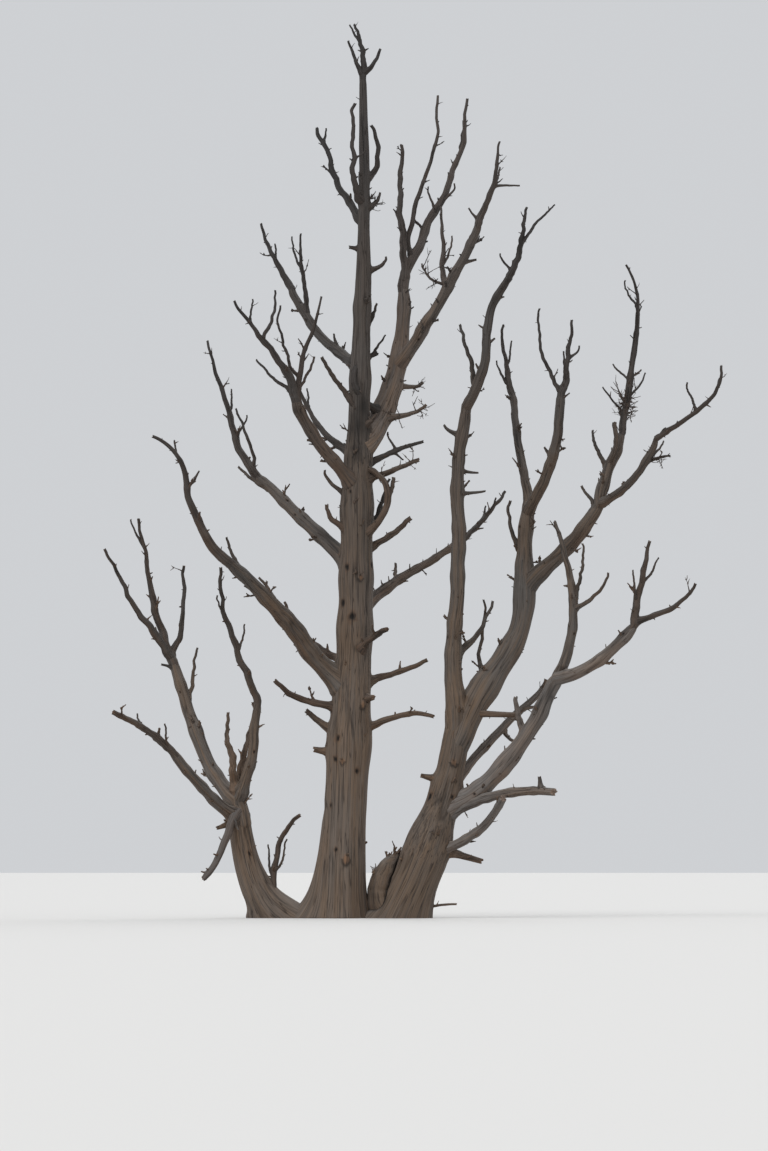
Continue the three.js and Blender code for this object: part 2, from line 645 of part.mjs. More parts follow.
/** A crooked limb's axis: a cubic curve in an upright plane, with small seeded bends. */
class LimbCurve extends THREE.Curve {
  constructor(name, foot, limb, crook) {
    super();
    this.foot = foot;
    this.limb = limb;
    this.forward = levelWay(limb.way);
    this.sideways = new THREE.Vector3().crossVectors(ALOFT, this.forward);
    this.span = Math.hypot(limb.out, limb.up);
    const chance = chanceFrom(name);
    this.bends = BEND_WAVES.map((waves) => ({
      waves,
      ahead: THREE.MathUtils.lerp(-2, 2, chance()) * crook * this.span / waves,
      aside: THREE.MathUtils.lerp(-2, 2, chance()) * crook * this.span / waves,
    }));
  }

  getPoint(share) {
    const { out, up, rise, lift, sway = 0, bow = [] } = this.limb;
    const leave = THREE.MathUtils.degToRad(rise);
    const end = THREE.MathUtils.degToRad(lift);
    const square = share * share;
    const cube = square * share;
    const startPull = (cube - 2 * square + share) * this.span;
    const endPull = (cube - square) * this.span;
    const reach = 3 * square - 2 * cube;
    let level = reach * out + startPull * Math.cos(leave) + endPull * Math.cos(end);
    const height = reach * up + startPull * Math.sin(leave) + endPull * Math.sin(end);
    let aside = sway * square;
    bow.forEach((size, index) => {
      level += size * Math.sin(Math.PI * (index + 1) * share);
    });
    for (const bend of this.bends) {
      const wave = Math.sin(Math.PI * bend.waves * share);
      level += bend.ahead * wave;
      aside += bend.aside * wave;
    }
    return this.foot.clone()
      .addScaledVector(this.forward, level)
      .addScaledVector(this.sideways, aside)
      .addScaledVector(ALOFT, height);
  }

  /** The direction along the limb, and two directions across it. */
  frameAt(share) {
    const after = this.getPoint(share + SHARE_STEP);
    const along = after.sub(this.getPoint(share - SHARE_STEP)).normalize();
    const over = new THREE.Vector3().crossVectors(along, this.sideways).normalize();
    const across = new THREE.Vector3().crossVectors(over, along);
    return { along, over, across };
  }

  /** The radius at a share of the length, read between the girth's evenly spaced values. */
  girthAt(share) {
    const { girth } = this.limb;
    const place = THREE.MathUtils.clamp(share, 0, 1) * (girth.length - 1);
    const before = Math.min(Math.floor(place), girth.length - 2);
    return THREE.MathUtils.lerp(girth[before], girth[before + 1], place - before);
  }
}

// Solids

/** A closed three.js geometry as a solid that can be joined and cut. */
function solidOf(geometry) {
  geometry.deleteAttribute("normal");
  geometry.deleteAttribute("uv");
  const merged = mergeVertices(geometry, MERGE_DISTANCE);
  const vertProperties = new Float32Array(merged.attributes.position.array);
  const triVerts = new Uint32Array(merged.index.array);
  return new wasm.Manifold(new wasm.Mesh({ numProp: 3, vertProperties, triVerts }));
}

/** How much further the bark stands out beside a joint, so that a limb swells into its parent. */
function collarAt(distance, foot, parentGirth) {
  const beyond = Math.max(0, distance - parentGirth);
  const swell = THREE.MathUtils.clamp(COLLAR_LIMIT * parentGirth - foot, 0, COLLAR_SWELL * foot);
  return swell * Math.exp(-beyond / foot);
}

/** How much further a stem stands out toward its roots, in one direction at one height. */
function rootReach(roots, direction, height) {
  let reach = 0;
  for (const root of roots) {
    const facing = Math.max(0, direction.dot(levelWay(root.way)));
    reach += root.reach * facing ** ROOT_SHARPNESS;
  }
  return reach * Math.exp(-Math.max(0, height) / FLARE_HEIGHT);
}

/** A bent, tapering rod round a limb's curve. Its skin stands "grown" outside the limb's own. */
function limbSolid(curve, kind, grown) {
  const { limb } = curve;
  const first = limb.roots ? -GROUND_OVERRUN : 0;
  const rings = Math.max(2, Math.round(curve.getLength() / RING_SPACING[kind]));
  const rod = new THREE.CylinderGeometry(1, 1, 1, SIDES[kind], rings);
  const places = rod.attributes.position;
  const corner = new THREE.Vector3();
  for (let index = 0; index < places.count; index += 1) {
    corner.fromBufferAttribute(places, index);
    const share = first + (corner.y + ROD_HALF) * (1 - first);
    const middle = curve.getPoint(share);
    const { along, over, across } = curve.frameAt(share);
    const direction = over.multiplyScalar(corner.x).addScaledVector(across, corner.z);
    const rim = direction.length();
    let radius = curve.girthAt(share) + grown;
    if (limb.roots && rim > 0) {
      radius += rootReach(limb.roots, direction.clone().normalize(), middle.z);
    } else if (curve.parentGirth > 0) {
      radius += collarAt(share * curve.getLength(), limb.girth[0], curve.parentGirth);
    }
    const atEnd = Math.abs(corner.y) > ROD_HALF - ROD_END_MARGIN;
    const overrun = atEnd ? grown * Math.sign(corner.y) : 0;
    middle.addScaledVector(direction, radius).addScaledVector(along, overrun);
    places.setXYZ(index, middle.x, middle.y, middle.z);
  }
  return solidOf(rod);
}

/** The broken pegs that stand on a limb, at seeded places. */
function spurSolids(curve, kind, name, grown) {
  const chance = chanceFrom(name + " spurs");
  const count = Math.floor(curve.getLength() / SPUR_SPACING[kind]);
  const spurs = [];
  for (let index = 0; index < count; index += 1) {
    const share = SPUR_STRETCH.first + SPUR_STRETCH.length * (index + chance()) / count;
    const turn = chance() * 2 * Math.PI;
    const length = THREE.MathUtils.lerp(SPUR_LENGTH.least, SPUR_LENGTH.most, chance() ** 2);
    const lean = THREE.MathUtils.lerp(SPUR_LEAN.least, SPUR_LEAN.most, chance());
    const { along, over, across } = curve.frameAt(share);
    const outward = over.multiplyScalar(Math.cos(turn)).addScaledVector(across, Math.sin(turn));
    const girth = curve.girthAt(share);
    const peg = THREE.MathUtils.clamp(girth * SPUR_GIRTH.share, SPUR_GIRTH.least, SPUR_GIRTH.most);
    const aim = outward.clone().addScaledVector(along, lean).normalize();
    const sunk = girth * SUNK_SHARE;
    const height = length + girth - sunk + grown;
    const cone = new THREE.ConeGeometry(peg + grown, height, SIDES.side);
    cone.translate(0, height / 2, 0);
    cone.applyQuaternion(new THREE.Quaternion().setFromUnitVectors(CYLINDER_AXIS, aim));
    const seat = curve.getPoint(share).addScaledVector(outward, sunk);
    cone.translate(seat.x, seat.y, seat.z);
    spurs.push(solidOf(cone));
  }
  return spurs;
}

/** A limb with all that is fused to it. */
function limbSolids(curve, kind, name, grown) {
  const solids = [limbSolid(curve, kind, grown), ...spurSolids(curve, kind, name, grown)];
  (curve.limb.side ?? []).forEach((row, index) => {
    const sideName = name + " " + index;
    const sideCurve = curveOn(curve, row, sideName, "side");
    solids.push(...limbSolids(sideCurve, "side", sideName, grown));
  });
  return solids;
}

/** The curve of a limb that starts on its parent's axis, or just inside its parent's tip. */
function curveOn(parent, row, name, kind) {
  const goesOn = row.at === 1;
  const sunk = goesOn ? 1 - SUNK_SHARE * row.girth[0] / parent.getLength() : row.at;
  const curve = new LimbCurve(name, parent.getPoint(sunk), row, CROOK[kind]);
  curve.parentGirth = goesOn ? 0 : parent.girthAt(row.at);
  return curve;
}

/** True where two boxes overlap. */
function boxesMeet(one, other) {
  const axes = [0, 1, 2];
  return axes.every((axis) => one.min[axis] <= other.max[axis] && other.min[axis] <= one.max[axis]);
}

/** The largest of the pieces that a cut leaves. */
function mainPiece(solid) {
  const pieces = solid.decompose();
  return pieces.reduce((best, piece) => (piece.volume() > best.volume() ? piece : best));
}

/** Everything under the ground, which the stems are cut by. */
function groundSolid() {
  const block = new THREE.BoxGeometry(GROUND_BLOCK, GROUND_BLOCK, GROUND_BLOCK);
  block.translate(0, 0, -GROUND_BLOCK / 2);
  return solidOf(block);
}

/** A three.js mesh of a finished solid. */
function meshOf(name, solid, finish) {
  const { vertProperties, triVerts } = solid.getMesh();
  const geometry = new THREE.BufferGeometry();
  geometry.setAttribute("position", new THREE.BufferAttribute(vertProperties, 3));
  geometry.setIndex(new THREE.BufferAttribute(triVerts, 1));
  geometry.computeVertexNormals();
  const mesh = new THREE.Mesh(geometry, new THREE.MeshStandardMaterial(finish));
  mesh.name = name;
  return mesh;
}

// Assembly

const curves = new Map();
const keepOuts = [];
const tree = new THREE.Group();
tree.name = "dead_tree";

/** Adds one node: its limb and side limbs joined, then cut clear of every node before it. */
function addNode(row, kind) {
  const onGround = row.foot !== undefined;
  const curve = onGround
    ? new LimbCurve(row.name, new THREE.Vector3(row.foot[0], row.foot[1], 0), row, CROOK[kind])
    : curveOn(curves.get(row.on), row, row.name, kind);
  curves.set(row.name, curve);
  let solid = wasm.Manifold.union(limbSolids(curve, kind, row.name, 0));
  const grown = wasm.Manifold.union(limbSolids(curve, kind, row.name, JOINT_GAP));
  const box = grown.boundingBox();
  for (const keepOut of keepOuts) {
    if (boxesMeet(box, keepOut.box)) {
      solid = solid.subtract(keepOut.solid);
    }
  }
  if (onGround) {
    solid = solid.subtract(groundSolid());
  }
  keepOuts.push({ box, solid: grown });
  tree.add(meshOf(row.name, mainPiece(solid), kind === "twigs" ? FINE_WOOD : BARKLESS_WOOD));
}

STEMS.forEach((row) => addNode(row, "stem"));
BOUGHS.forEach((row) => addNode(row, "bough"));
TWIGS.forEach((row) => addNode(row, "twigs"));

export default tree;
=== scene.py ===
"""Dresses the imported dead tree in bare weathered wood.

Metres and +Z up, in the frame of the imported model. The limb rows are in millimetres and degrees, as in the
solids' source: every limb is grown again from them by the same rule, with grain, cracks, knots and swollen
joints on the stems and boughs, and crooked broken twigs on every limb.
"""

import json
import logging
import math
from dataclasses import dataclass, field, fields
from enum import Enum

import bpy
import numpy as np
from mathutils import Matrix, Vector

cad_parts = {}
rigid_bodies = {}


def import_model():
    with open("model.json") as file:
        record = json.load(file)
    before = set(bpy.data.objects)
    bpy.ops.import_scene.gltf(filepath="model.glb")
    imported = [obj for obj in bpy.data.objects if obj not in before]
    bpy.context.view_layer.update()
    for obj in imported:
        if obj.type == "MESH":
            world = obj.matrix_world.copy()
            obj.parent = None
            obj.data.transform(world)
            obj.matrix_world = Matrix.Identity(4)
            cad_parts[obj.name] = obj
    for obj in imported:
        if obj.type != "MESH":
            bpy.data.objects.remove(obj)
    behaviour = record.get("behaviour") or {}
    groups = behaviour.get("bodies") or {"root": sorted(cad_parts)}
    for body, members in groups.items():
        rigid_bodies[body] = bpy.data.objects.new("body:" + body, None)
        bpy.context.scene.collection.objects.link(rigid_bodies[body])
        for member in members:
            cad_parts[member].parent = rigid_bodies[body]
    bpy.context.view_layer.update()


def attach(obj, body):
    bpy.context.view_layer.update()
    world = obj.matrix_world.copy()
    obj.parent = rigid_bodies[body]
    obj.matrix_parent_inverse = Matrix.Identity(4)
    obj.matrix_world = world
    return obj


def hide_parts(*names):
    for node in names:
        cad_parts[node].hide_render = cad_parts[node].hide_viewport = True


Array = np.ndarray
Pair = tuple[float, float]
Colour = tuple[float, float, float, float]
Socket = bpy.types.NodeSocket
LOG = logging.getLogger("dead_tree")
MM = 0.001
ALOFT = np.array([0.0, 0.0, 1.0])


class Kind(Enum):
    """The sorts of limb, from the thickest to the finest."""

    STEM = "stem"
    BOUGH = "bough"
    TWIGS = "twigs"
    SIDE = "side"


class Scar(Enum):
    """What a lost branch or a burn leaves on the wood."""

    HOLE = "hole"
    STUB = "stub"
    CHAR = "char"


@dataclass(frozen=True)
class Root:
    """One ridge of a root flare: its compass way and how far it stands out at the ground."""

    way: float
    reach: float


@dataclass(frozen=True)
class Limb:
    """One limb as a curve in an upright plane through its compass way.

    It starts at the share "at" of its parent's length, runs "out" level and "up" in height, leaves at the
    angle "rise" above level and ends at the angle "lift". "sway" carries its tip sideways out of that
    plane. "bow" lists how far it bends out level in one half wave, in two, and so on. "girth" lists its
    radii, evenly spaced from foot to tip. "side" holds the smaller limbs on it.
    """

    out: float
    up: float
    way: float
    rise: float
    lift: float
    girth: tuple[float, ...]
    at: float = 0.0
    name: str = ""
    on: str = ""
    sway: float = 0.0
    bow: tuple[float, ...] = ()
    foot: tuple[float, ...] = ()
    roots: tuple[Root, ...] = ()
    side: tuple["Limb", ...] = ()


@dataclass(frozen=True)
class Mark:
    """A scar on a stem: its share of the length, its way, its radius in millimetres and its sort."""

    share: float
    way: float
    radius: float
    scar: Scar


@dataclass(frozen=True)
class Tangle:
    """A crowd of fine twigs or splinters on one stretch of a limb, within a range of turns round it.

    "at" and "stretch" are shares of the limb's length, "length" and "girth" are millimetres, and "turns"
    are degrees. "curl" is how far a tip reaches aside, and "lean" how far it leans along the limb, as
    shares of the twig's length.
    """

    on: str
    at: float
    stretch: float
    count: int
    length: float
    curl: float
    lean: Pair = (-0.3, 1.1)
    girth: Pair = (4.0, 6.5)
    turns: Pair = (0.0, 360.0)


@dataclass(frozen=True)
class Weathering:
    """How a limb's wood differs from the rest: times as light, and how much warmer and cooler."""

    light: float = 1.0
    warm: float = 0.0
    cool: float = 0.0


# Limb rows

TRUNK_TIP = 8510

STEMS: tuple[Limb, ...] = (
    Limb(
        name="trunk", foot=(0, 0), out=225, up=TRUNK_TIP, way=4, rise=87, lift=91,
        bow=(-4, -28, -12, -8),
        girth=(224, 224, 210, 206, 194, 172, 160, 154, 154, 110, 102, 90, 82, 62, 54, 45, 37),
        roots=(Root(182, 340), Root(8, 90), Root(275, 90), Root(95, 110)),
        side=(
            Limb(at=0.213, out=430, up=250, way=172, rise=10, lift=38, girth=(46, 24)),
            Limb(at=0.213, out=850, up=190, way=-12, rise=22, lift=-22, girth=(44, 30, 20)),
            Limb(at=0.273, out=780, up=260, way=18, rise=12, lift=24, girth=(46, 32, 20)),
            Limb(at=0.425, out=590, up=400, way=24, rise=28, lift=42, girth=(42, 24)),
            Limb(at=0.512, out=640, up=210, way=-18, rise=12, lift=16, girth=(38, 20)),
            Limb(at=0.445, out=330, up=330, way=205, rise=50, lift=95, girth=(38, 18)),
            Limb(at=0.492, out=330, up=300, way=170, rise=20, lift=75, girth=(30, 12)),
            Limb(at=0.58, out=430, up=660, way=212, rise=75, lift=52, girth=(36, 16)),
            Limb(at=0.765, out=230, up=130, way=-8, rise=-8, lift=92, girth=(31, 11)),
            Limb(at=0.79, out=140, up=20, way=186, rise=10, lift=14, girth=(24, 15)),
            Limb(at=0.695, out=150, up=260, way=8, rise=40, lift=84, girth=(28, 11)),
            Limb(at=0.846, out=165, up=980, way=236, rise=30, lift=100, girth=(34, 24, 14)),
            Limb(at=0.875, out=80, up=540, way=24, rise=8, lift=130, girth=(34, 26, 16)),
            Limb(at=0.84, out=160, up=150, way=2, rise=-6, lift=94, girth=(31, 11)),
            Limb(at=0.575, out=210, up=150, way=330, rise=40, lift=70, girth=(34, 14)),
            Limb(at=0.19, out=330, up=60, way=176, rise=16, lift=8, girth=(48, 28)),
            Limb(at=0.255, out=270, up=20, way=322, rise=12, lift=6, girth=(48, 22)),
            Limb(
                at=0.443, out=150, up=720, way=-30, rise=35, lift=150, bow=(120,), girth=(38, 32, 27),
                side=(Limb(at=0.55, out=60, up=210, way=20, rise=60, lift=80, girth=(26, 18)),),
            ),
        ),
    ),
    Limb(
        name="right_stem", foot=(600, 0), out=605, up=2080, way=-8, rise=66, lift=84,
        girth=(224, 224, 222, 190, 150, 134, 134, 146),
        roots=(Root(185, 145), Root(-20, 90), Root(85, 80), Root(260, 70)),
        side=(
            Limb(
                at=0.03, out=20, up=575, way=184, rise=7, lift=95, bow=(145,),
                girth=(130, 100, 96, 106, 88, 40),
            ),
            Limb(at=0.04, out=540, up=60, way=-14, rise=4, lift=0, girth=(20, 10)),
            Limb(at=0.985, out=560, up=-30, way=-12, rise=-4, lift=0, girth=(40, 32, 28)),
            Limb(at=0.335, out=540, up=-110, way=-10, rise=0, lift=-14, girth=(52, 28)),
            Limb(at=0.66, out=260, up=60, way=190, rise=10, lift=10, girth=(42, 22)),
        ),
    ),
    Limb(
        name="left_stem", foot=(-655, 0), out=370, up=1215, way=184, rise=46, lift=86,
        girth=(142, 130, 120, 114, 110, 114),
        roots=(Root(2, 262), Root(190, 60), Root(100, 50), Root(280, 50)),
        side=(
            Limb(at=0.97, out=150, up=860, way=232, rise=72, lift=88, girth=(54, 34, 14)),
            Limb(at=0.98, out=190, up=960, way=40, rise=80, lift=84, girth=(46, 30, 12)),
            Limb(at=0.8, out=220, up=-60, way=176, rise=0, lift=-14, girth=(36, 17)),
        ),
    ),
)

LEADERS: tuple[Limb, ...] = (
    Limb(
        name="second_leader", on="trunk", at=0.552, out=650, up=1740, way=46, rise=33, lift=91,
        girth=(132, 110, 88, 70, 62),
        side=(
            Limb(at=0.25, out=500, up=130, way=-20, rise=14, lift=44, girth=(42, 25, 14)),
            Limb(at=0.46, out=330, up=40, way=20, rise=4, lift=50, girth=(31, 13)),
        ),
    ),
    Limb(
        name="third_leader", on="second_leader", at=0.56, out=1180, up=1370, way=-46, rise=39, lift=59,
        girth=(68, 58, 46, 40),
        side=(
            Limb(at=0.74, out=150, up=30, way=10, rise=6, lift=14, girth=(20, 10)),
            Limb(at=0.62, out=140, up=110, way=-60, rise=40, lift=40, girth=(20, 10)),
        ),
    ),
)

TRUNK_BOUGHS: tuple[Limb, ...] = (
    Limb(
        name="left_high_bough", on="trunk", at=0.652, out=1010, up=900, way=136, rise=18, lift=59,
        girth=(56, 46, 40),
        side=(Limb(at=0.28, out=90, up=190, way=120, rise=70, lift=70, girth=(20, 10)),),
    ),
    Limb(
        name="left_middle_bough", on="trunk", at=0.505, out=830, up=870, way=222, rise=31, lift=59,
        girth=(66, 58, 54),
        side=(Limb(at=0.55, out=130, up=20, way=215, rise=20, lift=0, girth=(22, 11)),),
    ),
    Limb(
        name="left_lower_bough", on="trunk", at=0.405, out=1310, up=1060, way=142, rise=40, lift=34,
        girth=(84, 70, 58, 46),
        side=(
            Limb(at=0.84, out=350, up=240, way=172, rise=16, lift=44, girth=(25, 11)),
            Limb(at=0.55, out=60, up=90, way=60, rise=60, lift=60, girth=(22, 13)),
        ),
    ),
    Limb(
        name="left_low_bough", on="trunk", at=0.262, out=1410, up=1270, way=190, sway=880, rise=40,
        lift=37, bow=(-55,), girth=(96, 92, 82, 68, 50),
        side=(
            Limb(at=0.86, out=200, up=400, way=170, rise=54, lift=74, girth=(25, 11)),
            Limb(at=0.63, out=190, up=320, way=160, rise=80, lift=42, girth=(25, 11)),
            Limb(at=0.76, out=150, up=60, way=190, rise=20, lift=22, girth=(28, 14)),
        ),
    ),
    Limb(
        name="right_back_bough", on="trunk", at=0.36, out=1670, up=810, way=50, rise=26, lift=22,
        girth=(72, 50, 40, 34),
        side=(Limb(at=0.4, out=240, up=200, way=90, rise=40, lift=70, girth=(25, 13)),),
    ),
    Limb(
        name="back_bough", on="trunk", at=0.44, out=1180, up=1180, way=91, rise=34, lift=58,
        girth=(78, 58, 50),
        side=(
            Limb(at=0.6, out=160, up=330, way=80, rise=60, lift=84, girth=(25, 11)),
            Limb(at=0.4, out=330, up=60, way=94, rise=10, lift=30, girth=(25, 11)),
        ),
    ),
)

RIGHT_STEM_BOUGHS: tuple[Limb, ...] = (
    Limb(
        name="right_left_bough", on="right_stem", at=0.93, out=90, up=3210, way=6, rise=94, lift=87,
        bow=(-18, -32), girth=(104, 84, 72, 68, 66, 60, 56),
        side=(
            Limb(at=0.2, out=480, up=600, way=32, rise=40, lift=74, girth=(42, 25, 13)),
            Limb(at=0.72, out=280, up=20, way=-8, rise=0, lift=10, girth=(22, 10)),
            Limb(at=0.79, out=210, up=-10, way=12, rise=4, lift=0, girth=(20, 10)),
            Limb(at=0.9, out=200, up=120, way=150, rise=30, lift=60, girth=(28, 13)),
        ),
    ),
    Limb(
        name="right_left_upper_bough", on="right_left_bough", at=1, out=615, up=1257, way=-50, sway=42,
        rise=62, lift=61, bow=(-12, 123, -22), girth=(53, 42, 37),
        side=(Limb(at=0.08, out=120, up=720, way=172, rise=112, lift=84, girth=(31, 13)),),
    ),
    Limb(
        name="right_right_bough", on="right_stem", at=0.82, out=830, up=2470, way=20, sway=40, rise=38,
        lift=63, bow=(85, -108, -72), girth=(126, 130, 122, 104, 98, 74, 70),
        side=(
            Limb(at=0.22, out=240, up=1060, way=66, rise=60, lift=88, girth=(36, 20, 10)),
            Limb(at=0.735, out=150, up=700, way=196, rise=70, lift=96, girth=(31, 14)),
        ),
    ),
    Limb(
        name="right_back_top_bough", on="right_right_bough", at=0.97, out=500, up=1290, way=109,
        rise=76, lift=68, girth=(52, 40, 34),
        side=(Limb(at=0.45, out=60, up=120, way=210, rise=40, lift=70, girth=(20, 10)),),
    ),
    Limb(
        name="right_front_top_bough", on="right_right_bough", at=0.96, out=640, up=1160, way=-60,
        rise=38, lift=90, girth=(60, 50, 44),
        side=(Limb(at=0.5, out=80, up=110, way=170, rise=50, lift=60, girth=(20, 10)),),
    ),
    Limb(
        name="right_arching_bough", on="right_right_bough", at=0.656, out=920, up=865, way=-36, rise=49,
        lift=54, bow=(32,), girth=(80, 70, 62),
        side=(Limb(at=0.9, out=130, up=260, way=175, rise=110, lift=70, girth=(25, 11)),),
    ),
    Limb(
        name="right_outer_bough", on="right_arching_bough", at=0.99, out=815, up=590, way=-48, sway=-40,
        rise=3, lift=96, bow=(-123,), girth=(45, 38, 33),
        side=(
            Limb(at=0.74, out=250, up=70, way=0, rise=24, lift=2, girth=(20, 10)),
            Limb(at=0.78, out=200, up=190, way=30, rise=20, lift=60, girth=(17, 8)),
        ),
    ),
    Limb(
        name="right_inner_bough", on="right_arching_bough", at=0.98, out=350, up=750, way=50, sway=-30,
        rise=106, lift=35, bow=(115,), girth=(60, 54, 40),
        side=(
            Limb(at=0.42, out=150, up=400, way=168, rise=64, lift=92, girth=(25, 11)),
            Limb(at=0.5, out=80, up=400, way=300, rise=30, lift=104, girth=(32, 22)),
        ),
    ),
    Limb(
        name="low_front_bough", on="right_stem", at=0.53, out=1250, up=1320, way=-6, sway=-764, rise=6,
        lift=74, bow=(-111,), girth=(98, 90, 84, 74, 66),
        side=(Limb(at=0.62, out=60, up=440, way=185, rise=98, lift=84, girth=(39, 21)),),
    ),
    Limb(
        name="low_outer_bough", on="low_front_bough", at=0.97, out=860, up=510, way=-30, rise=4,
        lift=47, girth=(64, 58, 46),
        side=(Limb(at=0.5, out=110, up=70, way=40, rise=30, lift=40, girth=(20, 10)),),
    ),
    Limb(
        name="low_upright_bough", on="low_front_bough", at=0.96, out=5, up=1590, way=178, sway=-420,
        rise=112, lift=74, bow=(-40,), girth=(56, 46, 34, 16),
        side=(
            Limb(at=0.5, out=100, up=560, way=20, rise=50, lift=84, girth=(22, 10)),
            Limb(at=0.45, out=360, up=340, way=-20, rise=12, lift=74, girth=(25, 11)),
        ),
    ),
    Limb(
        name="low_back_bough", on="right_stem", at=0.575, out=1260, up=1210, way=32, rise=55, lift=47,
        girth=(48, 44, 38, 28),
        side=(
            Limb(at=0.76, out=160, up=30, way=-4, rise=10, lift=4, girth=(22, 11)),
            Limb(at=0.6, out=170, up=-150, way=320, rise=-80, lift=0, girth=(22, 13)),
        ),
    ),
    Limb(
        name="low_level_bough", on="right_stem", at=0.46, out=1307, up=300, way=-12, sway=-695, rise=37,
        lift=-8, girth=(56, 50, 46, 43, 38),
        side=(Limb(at=0.9, out=20, up=130, way=180, rise=95, lift=95, girth=(28, 17)),),
    ),
    Limb(
        name="lowest_bough", on="right_stem", at=0.31, out=910, up=540, way=-10, sway=-870, rise=10,
        lift=57, bow=(-31,), girth=(56, 46, 42, 34),
    ),
)

LEFT_STEM_BOUGHS: tuple[Limb, ...] = (
    Limb(
        name="far_left_bough", on="left_stem", at=0.82, out=910, up=680, way=224, rise=27, lift=46,
        girth=(58, 50, 44),
    ),
    Limb(
        name="left_rising_bough", on="left_stem", at=0.955, out=870, up=1450, way=140, sway=26, rise=29,
        lift=77, bow=(-51,), girth=(76, 66, 60, 52),
        side=(
            Limb(at=0.72, out=110, up=580, way=20, rise=74, lift=80, girth=(25, 11)),
            Limb(at=0.93, out=150, up=60, way=196, rise=40, lift=10, girth=(20, 11)),
        ),
    ),
    Limb(
        name="left_upright_bough", on="left_stem", at=0.97, out=320, up=985, way=-50, rise=57, lift=93,
        girth=(58, 46, 40),
    ),
)

